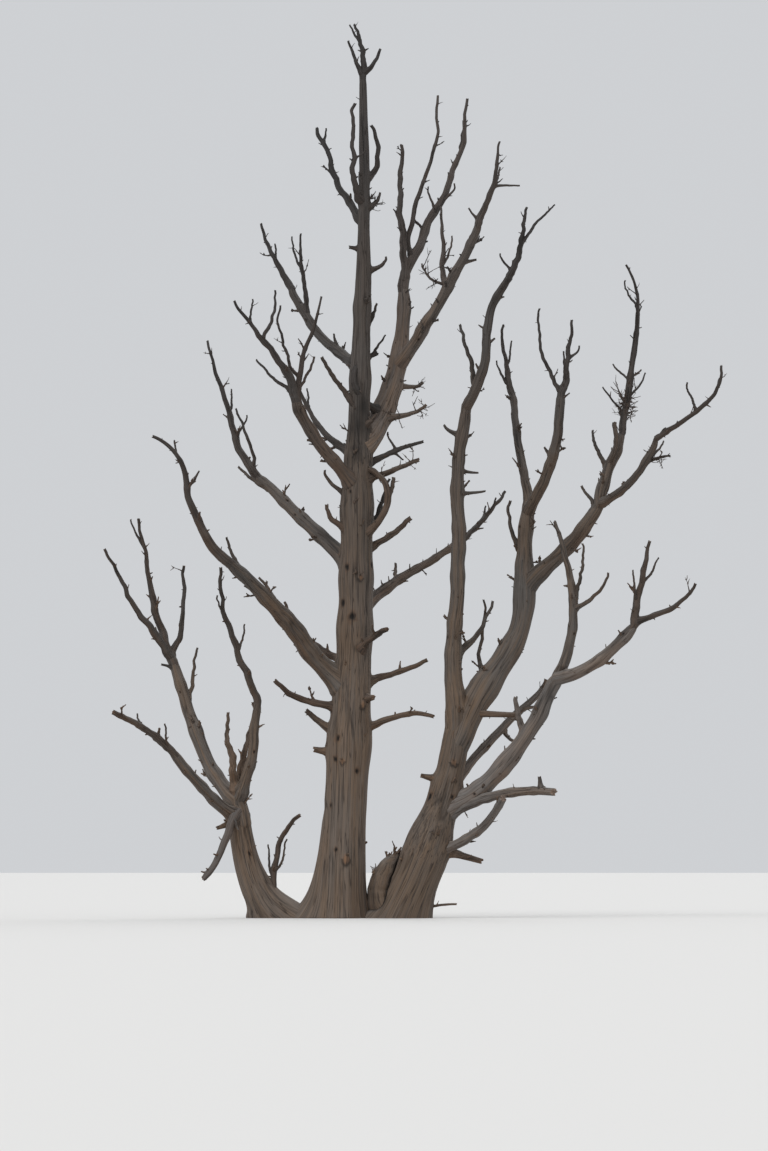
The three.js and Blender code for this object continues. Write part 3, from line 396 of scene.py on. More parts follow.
TRUNK_TWIGS: tuple[Limb, ...] = (
    Limb(
        name="top_twigs", on="trunk", at=1, out=90, up=530, way=164, rise=100, lift=66,
        girth=(36, 24, 12),
        side=(
            Limb(at=0.02, out=150, up=340, way=192, rise=62, lift=76, girth=(25, 11)),
            Limb(at=0.05, out=190, up=230, way=-24, rise=26, lift=78, girth=(28, 13)),
            Limb(at=0.66, out=110, up=160, way=200, rise=50, lift=70, girth=(15, 8)),
        ),
    ),
    Limb(
        name="top_left_twigs", on="trunk", at=0.823, out=610, up=1020, way=142, rise=44, lift=68,
        girth=(40, 30, 18),
        side=(
            Limb(at=0.86, out=30, up=150, way=20, rise=80, lift=96, girth=(14, 8)),
            Limb(at=0.45, out=160, up=240, way=110, rise=30, lift=70, girth=(17, 8)),
        ),
    ),
    Limb(
        name="left_high_twigs", on="left_high_bough", at=1, out=370, up=695, way=148, rise=54, lift=72,
        girth=(38, 23, 12),
        side=(Limb(at=0.4, out=160, up=230, way=100, rise=40, lift=80, girth=(15, 8)),),
    ),
    Limb(
        name="left_high_uprights", on="left_high_bough", at=0.71, out=70, up=840, way=214, rise=88,
        lift=92, girth=(29, 19, 10),
        side=(Limb(at=0.5, out=120, up=390, way=186, rise=60, lift=84, girth=(15, 8)),),
    ),
    Limb(
        name="left_middle_twigs", on="left_middle_bough", at=1, out=700, up=920, way=212, rise=83,
        lift=58, girth=(51, 34, 23, 12),
        side=(
            Limb(at=0.6, out=150, up=500, way=34, rise=60, lift=104, girth=(20, 10)),
            Limb(at=0.06, out=380, up=330, way=166, rise=30, lift=52, girth=(21, 10)),
            Limb(at=0.8, out=60, up=230, way=60, rise=70, lift=80, girth=(13, 8)),
        ),
    ),
    Limb(
        name="left_middle_uprights", on="left_middle_bough", at=0.9, out=235, up=1110, way=12, rise=92,
        lift=74, girth=(32, 22, 10),
        side=(
            Limb(at=0.26, out=205, up=730, way=160, rise=42, lift=92, girth=(18, 10)),
            Limb(at=0.12, out=190, up=350, way=-30, rise=60, lift=70, girth=(17, 10)),
        ),
    ),
    Limb(
        name="left_back_twigs", on="trunk", at=0.547, out=770, up=770, way=143, rise=14, lift=74,
        girth=(48, 28, 14),
        side=(Limb(at=0.7, out=210, up=260, way=100, rise=30, lift=70, girth=(17, 8)),),
    ),
    Limb(
        name="left_lower_twigs", on="left_lower_bough", at=1, out=610, up=1440, way=150, rise=57,
        lift=77, girth=(45, 28, 12),
        side=(
            Limb(at=0.03, out=190, up=660, way=184, rise=84, lift=60, girth=(21, 10)),
            Limb(at=0.45, out=210, up=330, way=90, rise=30, lift=74, girth=(17, 8)),
            Limb(at=0.3, out=130, up=250, way=30, rise=50, lift=70, girth=(14, 8)),
        ),
    ),
    Limb(
        name="left_low_twigs", on="left_low_bough", at=1, out=780, up=1180, way=206, rise=31, lift=22,
        girth=(52, 38, 26, 14),
        side=(
            Limb(at=0.56, out=120, up=160, way=10, rise=40, lift=70, girth=(17, 8)),
            Limb(at=0.22, out=170, up=340, way=150, rise=60, lift=60, girth=(20, 10)),
            Limb(at=0.7, out=190, up=280, way=120, rise=40, lift=80, girth=(15, 8)),
        ),
    ),
    Limb(
        name="left_low_back_twigs", on="trunk", at=0.3, out=950, up=640, way=138, rise=5, lift=62,
        girth=(45, 28, 14),
        side=(Limb(at=0.62, out=190, up=180, way=186, rise=20, lift=60, girth=(17, 8)),),
    ),
    Limb(
        name="low_left_snag", on="trunk", at=0.243, out=760, up=290, way=186, rise=14, lift=52,
        girth=(42, 32, 22),
        side=(Limb(at=0.78, out=100, up=110, way=170, rise=40, lift=80, girth=(13, 8)),),
    ),
    Limb(
        name="front_snag", on="trunk", at=0.3, out=560, up=300, way=-54, rise=44, lift=2,
        girth=(52, 36, 22),
        side=(Limb(at=0.66, out=90, up=100, way=250, rise=30, lift=80, girth=(15, 8)),),
    ),
    Limb(
        name="right_middle_twigs", on="trunk", at=0.437, out=420, up=700, way=38, rise=44, lift=68,
        girth=(42, 25, 12),
        side=(Limb(at=0.5, out=150, up=220, way=70, rise=30, lift=80, girth=(15, 8)),),
    ),
    Limb(
        name="right_fork_twigs", on="trunk", at=0.526, out=720, up=330, way=24, rise=32, lift=14,
        girth=(38, 28, 14),
        side=(
            Limb(at=0.6, out=90, up=190, way=160, rise=70, lift=100, girth=(15, 8)),
            Limb(at=0.55, out=100, up=-80, way=350, rise=-30, lift=-40, girth=(14, 8)),
        ),
    ),
    Limb(
        name="back_twigs", on="back_bough", at=1, out=420, up=1160, way=88, rise=58, lift=84,
        girth=(48, 31, 14),
        side=(
            Limb(at=0.3, out=330, up=420, way=92, rise=30, lift=76, girth=(20, 10)),
            Limb(at=0.12, out=190, up=620, way=268, rise=60, lift=92, girth=(20, 10)),
            Limb(at=0.62, out=160, up=330, way=262, rise=60, lift=80, girth=(14, 8)),
        ),
    ),
    Limb(
        name="right_back_twigs", on="right_back_bough", at=1, out=730, up=570, way=48, rise=29, lift=46,
        girth=(32, 25, 14),
        side=(
            Limb(at=0.4, out=230, up=210, way=70, rise=30, lift=70, girth=(18, 8)),
            Limb(at=0.55, out=120, up=190, way=330, rise=50, lift=80, girth=(15, 8)),
        ),
    ),
)

LEADER_TWIGS: tuple[Limb, ...] = (
    Limb(
        name="leader_top_twigs", on="second_leader", at=1, out=850, up=2040, way=38, rise=67, lift=88,
        girth=(56, 42, 28, 14),
        side=(
            Limb(at=0.03, out=40, up=1410, way=130, rise=84, lift=92, girth=(42, 32, 18)),
            Limb(at=0.15, out=270, up=1670, way=-16, rise=94, lift=92, girth=(28, 20, 12)),
            Limb(at=0.42, out=80, up=240, way=175, rise=50, lift=84, girth=(15, 8)),
            Limb(at=0.47, out=130, up=170, way=-10, rise=20, lift=100, girth=(15, 8)),
            Limb(at=0.7, out=120, up=420, way=60, rise=60, lift=84, girth=(14, 8)),
        ),
    ),
    Limb(
        name="leader_hook_twigs", on="second_leader", at=0.3, out=110, up=590, way=235, rise=15,
        lift=130, bow=(330,), girth=(36, 30, 22),
        side=(Limb(at=0.9, out=200, up=210, way=330, rise=40, lift=60, girth=(17, 8)),),
    ),
    Limb(
        name="third_leader_twigs", on="third_leader", at=1, out=290, up=770, way=-45, rise=53, lift=85,
        girth=(37, 23, 10),
        side=(
            Limb(at=0.46, out=270, up=20, way=12, rise=14, lift=0, girth=(15, 8)),
            Limb(at=0.5, out=110, up=180, way=60, rise=40, lift=80, girth=(14, 8)),
            Limb(at=0.03, out=110, up=110, way=200, rise=30, lift=60, girth=(15, 8)),
        ),
    ),
    Limb(
        name="third_leader_uprights", on="third_leader", at=0.58, out=130, up=830, way=122, rise=60,
        lift=84, girth=(32, 20, 10),
        side=(
            Limb(at=0.05, out=260, up=190, way=196, rise=-10, lift=88, girth=(17, 8)),
            Limb(at=0.3, out=110, up=300, way=20, rise=50, lift=96, girth=(14, 8)),
        ),
    ),
)

RIGHT_STEM_TWIGS: tuple[Limb, ...] = (
    Limb(
        name="right_left_twigs", on="right_left_upper_bough", at=1, out=205, up=690, way=-30, rise=60,
        lift=84, girth=(38, 25, 12),
        side=(
            Limb(at=0.5, out=340, up=400, way=8, rise=52, lift=38, girth=(18, 8)),
            Limb(at=0.1, out=120, up=180, way=170, rise=50, lift=80, girth=(14, 8)),
        ),
    ),
    Limb(
        name="right_back_top_twigs", on="right_back_top_bough", at=1, out=110, up=690, way=130, rise=76,
        lift=100, girth=(35, 22, 12),
        side=(
            Limb(at=0.1, out=130, up=240, way=190, rise=40, lift=80, girth=(15, 8)),
            Limb(at=0.4, out=120, up=260, way=60, rise=40, lift=84, girth=(14, 8)),
        ),
    ),
    Limb(
        name="right_front_top_twigs", on="right_front_top_bough", at=1, out=110, up=740, way=-10,
        rise=76, lift=86, girth=(42, 25, 12),
        side=(
            Limb(at=0.04, out=220, up=830, way=176, rise=44, lift=92, girth=(22, 10)),
            Limb(at=0.5, out=110, up=120, way=10, rise=20, lift=96, girth=(14, 8)),
            Limb(at=0.2, out=190, up=260, way=260, rise=30, lift=80, girth=(15, 8)),
        ),
    ),
    Limb(
        name="right_inner_twigs", on="right_inner_bough", at=1, out=67, up=1705, way=40, rise=68,
        lift=143, bow=(-97, 48), girth=(38, 34, 26, 16, 10),
        side=(
            Limb(at=0.1, out=210, up=300, way=176, rise=60, lift=50, girth=(13, 8)),
            Limb(at=0.2, out=190, up=260, way=-20, rise=40, lift=70, girth=(13, 8)),
            Limb(at=0.14, out=160, up=210, way=280, rise=30, lift=70, girth=(13, 8)),
            Limb(at=0.3, out=190, up=180, way=150, rise=40, lift=50, girth=(13, 8)),
            Limb(at=0.66, out=140, up=330, way=205, rise=80, lift=96, girth=(14, 8)),
        ),
    ),
    Limb(
        name="right_outer_twigs", on="right_outer_bough", at=1, out=690, up=680, way=-26, rise=12,
        lift=80, bow=(-21, -52), girth=(29, 24, 19, 12),
        side=(
            Limb(at=0.5, out=90, up=290, way=160, rise=80, lift=92, girth=(15, 8)),
            Limb(at=0.08, out=80, up=90, way=40, rise=60, lift=20, girth=(13, 8)),
            Limb(at=0.62, out=160, up=240, way=40, rise=30, lift=70, girth=(14, 8)),
        ),
    ),
    Limb(
        name="low_outer_twigs", on="low_outer_bough", at=1, out=150, up=810, way=-10, rise=84, lift=76,
        girth=(44, 30, 15),
        side=(
            Limb(at=0.04, out=600, up=370, way=6, rise=16, lift=66, girth=(30, 24, 14)),
            Limb(at=0.48, out=190, up=270, way=24, rise=44, lift=68, girth=(15, 8)),
            Limb(at=0.3, out=130, up=280, way=250, rise=40, lift=80, girth=(14, 8)),
        ),
    ),
)

LEFT_STEM_TWIGS: tuple[Limb, ...] = (
    Limb(
        name="far_left_twigs", on="far_left_bough", at=1, out=670, up=360, way=216, rise=42, lift=21,
        girth=(42, 34, 24),
        side=(
            Limb(at=0.5, out=110, up=150, way=130, rise=40, lift=80, girth=(14, 8)),
            Limb(at=0.05, out=180, up=230, way=260, rise=20, lift=60, girth=(14, 8)),
        ),
    ),
    Limb(
        name="left_rising_twigs", on="left_rising_bough", at=1, out=530, up=1480, way=136, rise=59,
        lift=78, girth=(50, 36, 24, 14),
        side=(
            Limb(at=0.02, out=730, up=1090, way=204, rise=46, lift=58, girth=(40, 28, 14)),
            Limb(at=0.03, out=190, up=940, way=52, rise=64, lift=104, girth=(34, 24, 13)),
            Limb(at=0.82, out=140, up=270, way=196, rise=50, lift=76, girth=(13, 8)),
            Limb(at=0.5, out=160, up=260, way=110, rise=40, lift=80, girth=(15, 8)),
        ),
    ),
    Limb(
        name="left_upright_twigs", on="left_upright_bough", at=1, out=400, up=1320, way=205, rise=69,
        lift=96, girth=(38, 30, 15),
        side=(
            Limb(at=0.36, out=70, up=300, way=20, rise=70, lift=84, girth=(14, 8)),
            Limb(at=0.6, out=150, up=260, way=230, rise=50, lift=84, girth=(14, 8)),
        ),
    ),
    Limb(
        name="drooping_twigs", on="left_stem", at=0.86, out=320, up=-640, way=262, sway=-290, rise=25,
        lift=-70, girth=(44, 38, 26),
        side=(Limb(at=0.3, out=110, up=-110, way=300, rise=-20, lift=-60, girth=(14, 8)),),
    ),
    Limb(
        name="low_shoots", on="left_stem", at=0.09, out=380, up=930, way=-30, rise=72, lift=30,
        girth=(34, 28, 18),
        side=(
            Limb(at=0.3, out=60, up=330, way=160, rise=60, lift=84, girth=(14, 8)),
            Limb(at=0.35, out=140, up=330, way=340, rise=40, lift=80, girth=(14, 8)),
        ),
    ),
)

BOUGHS = LEADERS + TRUNK_BOUGHS + RIGHT_STEM_BOUGHS + LEFT_STEM_BOUGHS
TWIGS = TRUNK_TWIGS + LEADER_TWIGS + RIGHT_STEM_TWIGS + LEFT_STEM_TWIGS

# Scars that the front of the stems shows. Those on their other sides are seeded.
MARKS: dict[str, tuple[Mark, ...]] = {
    "trunk": (
        Mark(0.069, 278, 34, Scar.STUB),
        Mark(0.080, 252, 15, Scar.HOLE),
        Mark(0.131, 226, 13, Scar.HOLE),
        Mark(0.152, 196, 15, Scar.HOLE),
        Mark(0.172, 298, 18, Scar.HOLE),
        Mark(0.184, 236, 17, Scar.HOLE),
        Mark(0.183, 256, 22, Scar.STUB),
        Mark(0.201, 190, 18, Scar.HOLE),
        Mark(0.208, 240, 18, Scar.HOLE),
        Mark(0.241, 192, 22, Scar.HOLE),
        Mark(0.249, 306, 26, Scar.STUB),
        Mark(0.352, 258, 25, Scar.HOLE),
        Mark(0.368, 222, 20, Scar.HOLE),
        Mark(0.398, 286, 22, Scar.STUB),
        Mark(0.411, 238, 20, Scar.HOLE),
        Mark(0.414, 338, 16, Scar.HOLE),
        Mark(0.500, 246, 12, Scar.HOLE),
        Mark(0.545, 262, 42, Scar.CHAR),
        Mark(0.578, 272, 74, Scar.CHAR),
        Mark(0.602, 300, 62, Scar.CHAR),
    ),
    "right_stem": (
        Mark(0.574, 212, 24, Scar.HOLE),
        Mark(0.600, 300, 13, Scar.HOLE),
        Mark(0.752, 276, 24, Scar.STUB),
        Mark(0.880, 262, 16, Scar.HOLE),
        Mark(0.990, 262, 22, Scar.HOLE),
    ),
    "left_stem": (
        Mark(0.55, 300, 15, Scar.HOLE),
        Mark(0.80, 200, 24, Scar.STUB),
    ),
}

TANGLES = (
    Tangle("right_inner_twigs", 0.14, 0.12, count=34, length=95, curl=1.0, turns=(90.0, 270.0)),
    Tangle("right_inner_twigs", 0.16, 0.10, count=12, length=70, curl=0.9),
    Tangle("right_inner_twigs", 0.15, 0.10, count=9, length=190, curl=0.15, lean=(0.5, 1.8), girth=(5, 8)),
    Tangle("third_leader_uprights 0", 0.50, 0.80, count=9, length=150, curl=0.6),
    Tangle("second_leader 0", 0.60, 0.70, count=12, length=120, curl=0.7),
    Tangle("second_leader 1", 0.60, 0.60, count=8, length=90, curl=0.7),
    Tangle("right_outer_bough 0", 0.55, 0.80, count=15, length=100, curl=0.8),
    Tangle("trunk 13", 0.50, 0.80, count=10, length=80, curl=0.8),
    Tangle("trunk 4", 0.62, 0.60, count=10, length=130, curl=0.6),
    Tangle(
        "right_stem 0", 0.88, 0.16, count=10, length=85, curl=0.1, lean=(1.8, 5.0), girth=(8.0, 16.0),
        turns=(110.0, 250.0),
    ),
    Tangle(
        "right_stem 0", 0.62, 0.20, count=7, length=80, curl=0.1, lean=(1.2, 3.0), girth=(8.0, 14.0),
        turns=(120.0, 240.0),
    ),
)
PLAIN = Weathering()
RUDDY = Weathering(warm=0.26)
BLEACHED = Weathering(light=1.45, cool=0.50)
PALE = Weathering(light=1.66, warm=0.10, cool=-0.35)
DULL = Weathering(light=0.86)
WEATHERED = {
    DULL: ("right_stem",),
    PALE: (
        "second_leader", "third_leader", "third_leader_twigs", "third_leader_uprights",
        "leader_top_twigs",
    ),
    RUDDY: (
        "left_middle_bough", "left_middle_uprights", "left_low_back_twigs", "right_back_bough",
        "low_left_snag", "front_snag",
    ),
    BLEACHED: (
        "low_front_bough", "low_outer_bough", "low_back_bough", "low_level_bough", "lowest_bough",
        "drooping_twigs",
    ),
}
WEATHERINGS = {name: weathering for weathering, names in WEATHERED.items() for name in names}
# Limbs that are split from their parent by an open crack.
TORN = ("right_stem 0",)


# Seeded chance


class Chance:
    """A repeatable stream of numbers, set by a name: the rule of the solids' source."""

    MODULUS = 2147483647
    FACTOR = 16807
    LETTER_STEP = 31

    def __init__(self, name: str) -> None:
        """Starts the stream.

        Args:
            name: What the stream is for. Its letters set the first state.
        """
        self.state = 1
        for letter in name:
            self.state = (self.state * self.LETTER_STEP + ord(letter)) % self.MODULUS

    def draw(self, low: float = 0.0, high: float = 1.0) -> float:
        """The next number of the stream, between two limits."""
        self.state = self.state * self.FACTOR % self.MODULUS
        return low + (high - low) * self.state / self.MODULUS

    def bends(self, waves: tuple[int, ...], most: float) -> list[tuple[int, float, float]]:
        """For each number of half waves, how far a limb bends ahead and aside in them."""
        return [(count, self.draw(-most, most) / count, self.draw(-most, most) / count) for count in waves]


def chance_arrays(name: str) -> np.random.Generator:
    """A repeatable source of whole arrays of numbers, set by a name."""
    return np.random.default_rng(Chance(name).state)


LATTICE_CORNERS = np.array([[x, y, z] for x in (0, 1) for y in (0, 1) for z in (0, 1)])
HASH_STEPS = np.array([73856093, 19349663, 83492791])
HASH_FACTOR = 668265261
HASH_SEED_STEP = 40503
HASH_SHIFTS = (15, 13)
HASH_LAST_SHIFT = 16
HASH_MASK = 0x7FFFFFFF


def lattice_noise(places: Array, seed: int) -> Array:
    """Smooth noise over space: seeded values on a unit lattice, eased between corners by 3t^2 - 2t^3.

    Args:
        places: Points, with three numbers on the last axis, in lattice units.
        seed: Which noise.

    Returns:
        One number from -1 to 1 for each point.
    """
    cell = np.floor(places).astype(np.int64)
    part = places - cell
    ease = part * part * (3.0 - 2.0 * part)
    total = np.zeros(places.shape[:-1])
    for corner in LATTICE_CORNERS:
        key = ((cell + corner) * HASH_STEPS).sum(-1) + seed * HASH_SEED_STEP
        for shift in HASH_SHIFTS:
            key = ((key ^ (key >> shift)) & HASH_MASK) * HASH_FACTOR & HASH_MASK
        value = 2.0 * (key ^ (key >> HASH_LAST_SHIFT)) / HASH_MASK - 1.0
        total += value * np.prod(np.where(corner == 1, ease, 1.0 - ease), axis=-1)
    return total


def smooth_step(values: Array, low: float, high: float) -> Array:
    """An eased ramp, 3t^2 - 2t^3, from 0 at one value to 1 at another."""
    part = np.clip((values - low) / (high - low), 0.0, 1.0)
    return part * part * (3.0 - 2.0 * part)


# The heights between which the wood turns cool, and how much painted shade darkens it between each pair
# of heights.
COOL_HEIGHTS = (2.4, 8.0)
SHADE_HEIGHTS = ((0.28, 0.5, 4.2), (0.30, 4.0, 7.4))


def painted_height_shade(heights: Array) -> Array:
    """Painted shade: the wood darkens in two eased steps towards the top, away from the ground's bounce
    light.

    Args:
        heights: Heights above the ground, in metres.

    Returns:
        A factor for each height, up to 1.
    """
    light = np.ones_like(heights)
    for loss, low, high in SHADE_HEIGHTS:
        light = light * (1.0 - loss * smooth_step(heights, low, high))
    return light


SHORTEST = 1e-12


def unit(vectors: Array) -> Array:
    """The vectors at length 1."""
    return vectors / np.maximum(np.linalg.norm(vectors, axis=-1, keepdims=True), SHORTEST)


def level_way(degrees: float) -> Array:
    """The level direction of a compass angle."""
    angle = math.radians(degrees)
    return np.array([math.cos(angle), math.sin(angle), 0.0])


# Limb curves

CROOK = {Kind.STEM: 0.004, Kind.BOUGH: 0.014, Kind.TWIGS: 0.02, Kind.SIDE: 0.024}
KNEE = {Kind.STEM: 0.002, Kind.BOUGH: 0.02, Kind.TWIGS: 0.07, Kind.SIDE: 0.08}
BEND_WAVES = (2, 3, 5)
KNEE_WAVES = (7, 11, 19)
BEND_SCALE = 2.0
# How deep a limb's foot is sunk, in radii of the limb under it.
SUNK_SHARE = 0.5
# The most metres that a limb's grain starts with, and the most radians that it turns in a metre.
GRAIN_STARTS = 89
GRAIN_TWIST = 0.25
# From this share of its parent on, a limb runs back inside it, this far in radii and this thick.
FORK_SHARE = 0.93
BACK_REACH = 3.0
HIDDEN_SHARE = 0.82
COLLAR_SWELL = 0.45
COLLAR_LIMIT = 0.9
FLARE_HEIGHT = 0.24
ROOT_SHARPNESS = 4
LENGTH_STEPS = 200
SHARE_STEP = 0.001


class LimbCurve:
    """A crooked limb's axis: the source's cubic curve and seeded bends, with small knees added."""

    def __init__(self, name: str, row: Limb, kind: Kind, parent: "LimbCurve | None" = None) -> None:
        """Places the curve on the ground or on its parent.

        Args:
            name: What the seeded bends are drawn for.
            row: The limb's sizes.
            kind: Its sort.
            parent: The limb that it grows from.
        """
        self.name = name
        self.row = row
        self.kind = kind
        self.parent = parent
        self.children: list[LimbCurve] = []
        self.goes_on = parent is not None and row.at == 1
        self.runs_back = row.at >= FORK_SHARE
        self.girth = np.array(row.girth) * MM
        self.forward = level_way(row.way)
        self.sideways = np.cross(ALOFT, self.forward)
        self.span = math.hypot(row.out, row.up) * MM
        self.parent_girth = 0.0
        self.bends = Chance(name).bends(BEND_WAVES, BEND_SCALE * CROOK[kind] * self.span)
        self.knees = Chance(name + " knees").bends(KNEE_WAVES, KNEE[kind] * self.span)
        if parent is None:
            self.foot = np.array([*row.foot, 0.0]) * MM
        else:
            self.foot_share = 1.0 - SUNK_SHARE * self.girth[0] / parent.length if self.goes_on else row.at
            self.foot = parent.points(np.array([self.foot_share]))[0]
            if not self.goes_on:
                self.parent_girth = float(parent.girths(np.array([row.at]))[0])
            parent.children.append(self)
        steps = self.points(np.linspace(0.0, 1.0, LENGTH_STEPS + 1), knees=False)
        self.length = float(np.linalg.norm(np.diff(steps, axis=0), axis=1).sum())

    def points(self, shares: Array, knees: bool = True) -> Array:
        """Points of the axis.

        A cubic Hermite curve in the upright plane, with end tangents as long as the span. Sway grows with
        the square of the share. Bow and bends are sine waves, and knees are triangle waves.

        Args:
            shares: Shares of the length, from 0 at the foot to 1 at the tip.
            knees: Whether the small knees are added.

        Returns:
            One point for each share.
        """
        row = self.row
        square = shares * shares
        cube = square * shares
        start = (cube - 2.0 * square + shares) * self.span
        end = (cube - square) * self.span
        reach = 3.0 * square - 2.0 * cube
        rise, lift = math.radians(row.rise), math.radians(row.lift)
        level = reach * row.out * MM + start * math.cos(rise) + end * math.cos(lift)
        height = reach * row.up * MM + start * math.sin(rise) + end * math.sin(lift)
        aside = row.sway * MM * square
        for half_waves, size in enumerate(row.bow, start=1):
            level = level + size * MM * np.sin(math.pi * half_waves * shares)
        for waves, ahead_bend, aside_bend in self.bends:
            wave = np.sin(math.pi * waves * shares)
            level = level + ahead_bend * wave
            aside = aside + aside_bend * wave
        if knees:
            for waves, ahead_bend, aside_bend in self.knees:
                wave = np.arcsin(np.sin(math.pi * waves * shares)) * 2.0 / math.pi
                level = level + ahead_bend * wave
                aside = aside + aside_bend * wave
        plane = np.outer(level, self.forward) + np.outer(height, ALOFT)
        return self.foot + plane + np.outer(aside, self.sideways)

    def frames(self, shares: Array) -> tuple[Array, Array, Array]:
        """The directions of the limb.

        Args:
            shares: Shares of the length.

        Returns:
            At each share, the direction along the limb and two across it, each square to the others.
        """
        after = self.points(shares + SHARE_STEP, knees=False)
        along = unit(after - self.points(shares - SHARE_STEP, knees=False))
        over = unit(np.cross(along, self.sideways))
        return along, over, np.cross(over, along)

    def girths(self, shares: Array) -> Array:
        """The radii at each share, read between the evenly spaced ones."""
        return np.interp(shares, np.linspace(0.0, 1.0, len(self.girth)), self.girth)

    def collars(self, shares: Array) -> Array:
        """How much further the limb stands out beside its parent: a swelling that fades as e^(-distance).

        Args:
            shares: Shares of the length.

        Returns:
            One distance for each share.
        """
        if self.parent_girth == 0.0:
            return np.zeros_like(shares)
        beyond = np.maximum(0.0, shares * self.length - self.parent_girth)
        room = COLLAR_LIMIT * self.parent_girth - self.girth[0]
        return max(0.0, min(room, COLLAR_SWELL * self.girth[0])) * np.exp(-beyond / self.girth[0])

    def is_forked(self) -> bool:
        """True where limbs go on from its tip, so that the tip is hidden."""
        return any(child.runs_back and child.kind is not Kind.SIDE for child in self.children)

    def grain_start(self) -> Pair:
        """The turn and the distance that the grain has at the foot.

        Where the limb runs on from its parent they are the parent's there, so that the grain runs on too.

        Returns:
            The turn in radians and the distance in metres.
        """
        if not self.runs_back:
            return 0.0, float(Chance(self.name).state % GRAIN_STARTS)
        turn, start = self.parent.grain_start()
        _, over, across = (axes[0] for axes in self.parent.frames(np.array([self.foot_share])))
        own = self.frames(np.zeros(1))[1][0]
        reached = self.foot_share * self.parent.length
        turn += math.atan2(own @ across, own @ over) + self.parent.twist() * reached
        return turn, start + reached

    def twist(self) -> float:
        """How far the grain turns round the axis in a metre."""
        return Chance(self.name + " skin").draw(-GRAIN_TWIST, GRAIN_TWIST)

    def run_back(
        self, shares: Array, centres: Array, frames: tuple[Array, ...]
    ) -> tuple[Array, Array, tuple[Array, ...]]:
        """Runs the rings before the foot back along the parent's axis.

        At the distance d behind the foot a ring stands on the parent's axis. With s = smooth(d / reach), its
        radius is (1 - s) of the limb's own and s of a share of the parent's, and it turns by s from the
        limb's direction to the parent's. A side limb grows no thicker there.

        Args:
            shares: The rings' shares of the length, negative before the foot.
            centres: The rings' centres.
            frames: The rings' three directions.

        Returns:
            The centres, the radii and the directions.
        """
        girths = self.girths(shares)
        behind = np.flatnonzero(shares < 0.0)
        if not self.runs_back or not len(behind):
            return centres, girths, frames
        along, over, across = frames
        depth = -shares[behind] * self.length
        back = np.maximum(0.0, self.foot_share - depth / self.parent.length)
        centres[behind] = self.parent.points(back)
        blend = smooth_step(depth, 0.0, BACK_REACH * self.girth[0])
        hidden = HIDDEN_SHARE * self.parent.girths(back)
        if self.kind is Kind.SIDE:
            hidden = np.minimum(hidden, girths[behind])
        girths[behind] += (hidden - girths[behind]) * blend
        turned = along[behind] * (1.0 - blend)[:, None] + self.parent.frames(back)[0] * blend[:, None]
        along[behind] = unit(turned)
        slip = (over[behind] * along[behind]).sum(-1)[:, None]
        over[behind] = unit(over[behind] - along[behind] * slip)
        across[behind] = np.cross(over[behind], along[behind])
        return centres, girths, (along, over, across)


def grow_curves() -> dict[str, LimbCurve]:
    """Works out every limb's curve.

    Returns:
        The curves by name. Side limbs are named after their own limb, with a number.
    """
    curves: dict[str, LimbCurve] = {}

    def grow(name: str, row: Limb, kind: Kind, parent: LimbCurve | None) -> None:
        """Adds a limb, and then the side limbs on it."""
        curves[name] = LimbCurve(name, row, kind, parent)
        for index, side_row in enumerate(row.side):
            grow(f"{name} {index}", side_row, Kind.SIDE, curves[name])

    for rows, kind in ((STEMS, Kind.STEM), (BOUGHS, Kind.BOUGH), (TWIGS, Kind.TWIGS)):
        for row in rows:
            grow(row.name, row, kind, curves.get(row.on))
    return curves


# Surfaces

LOWEST = np.array([-np.inf, -np.inf, 0.0])


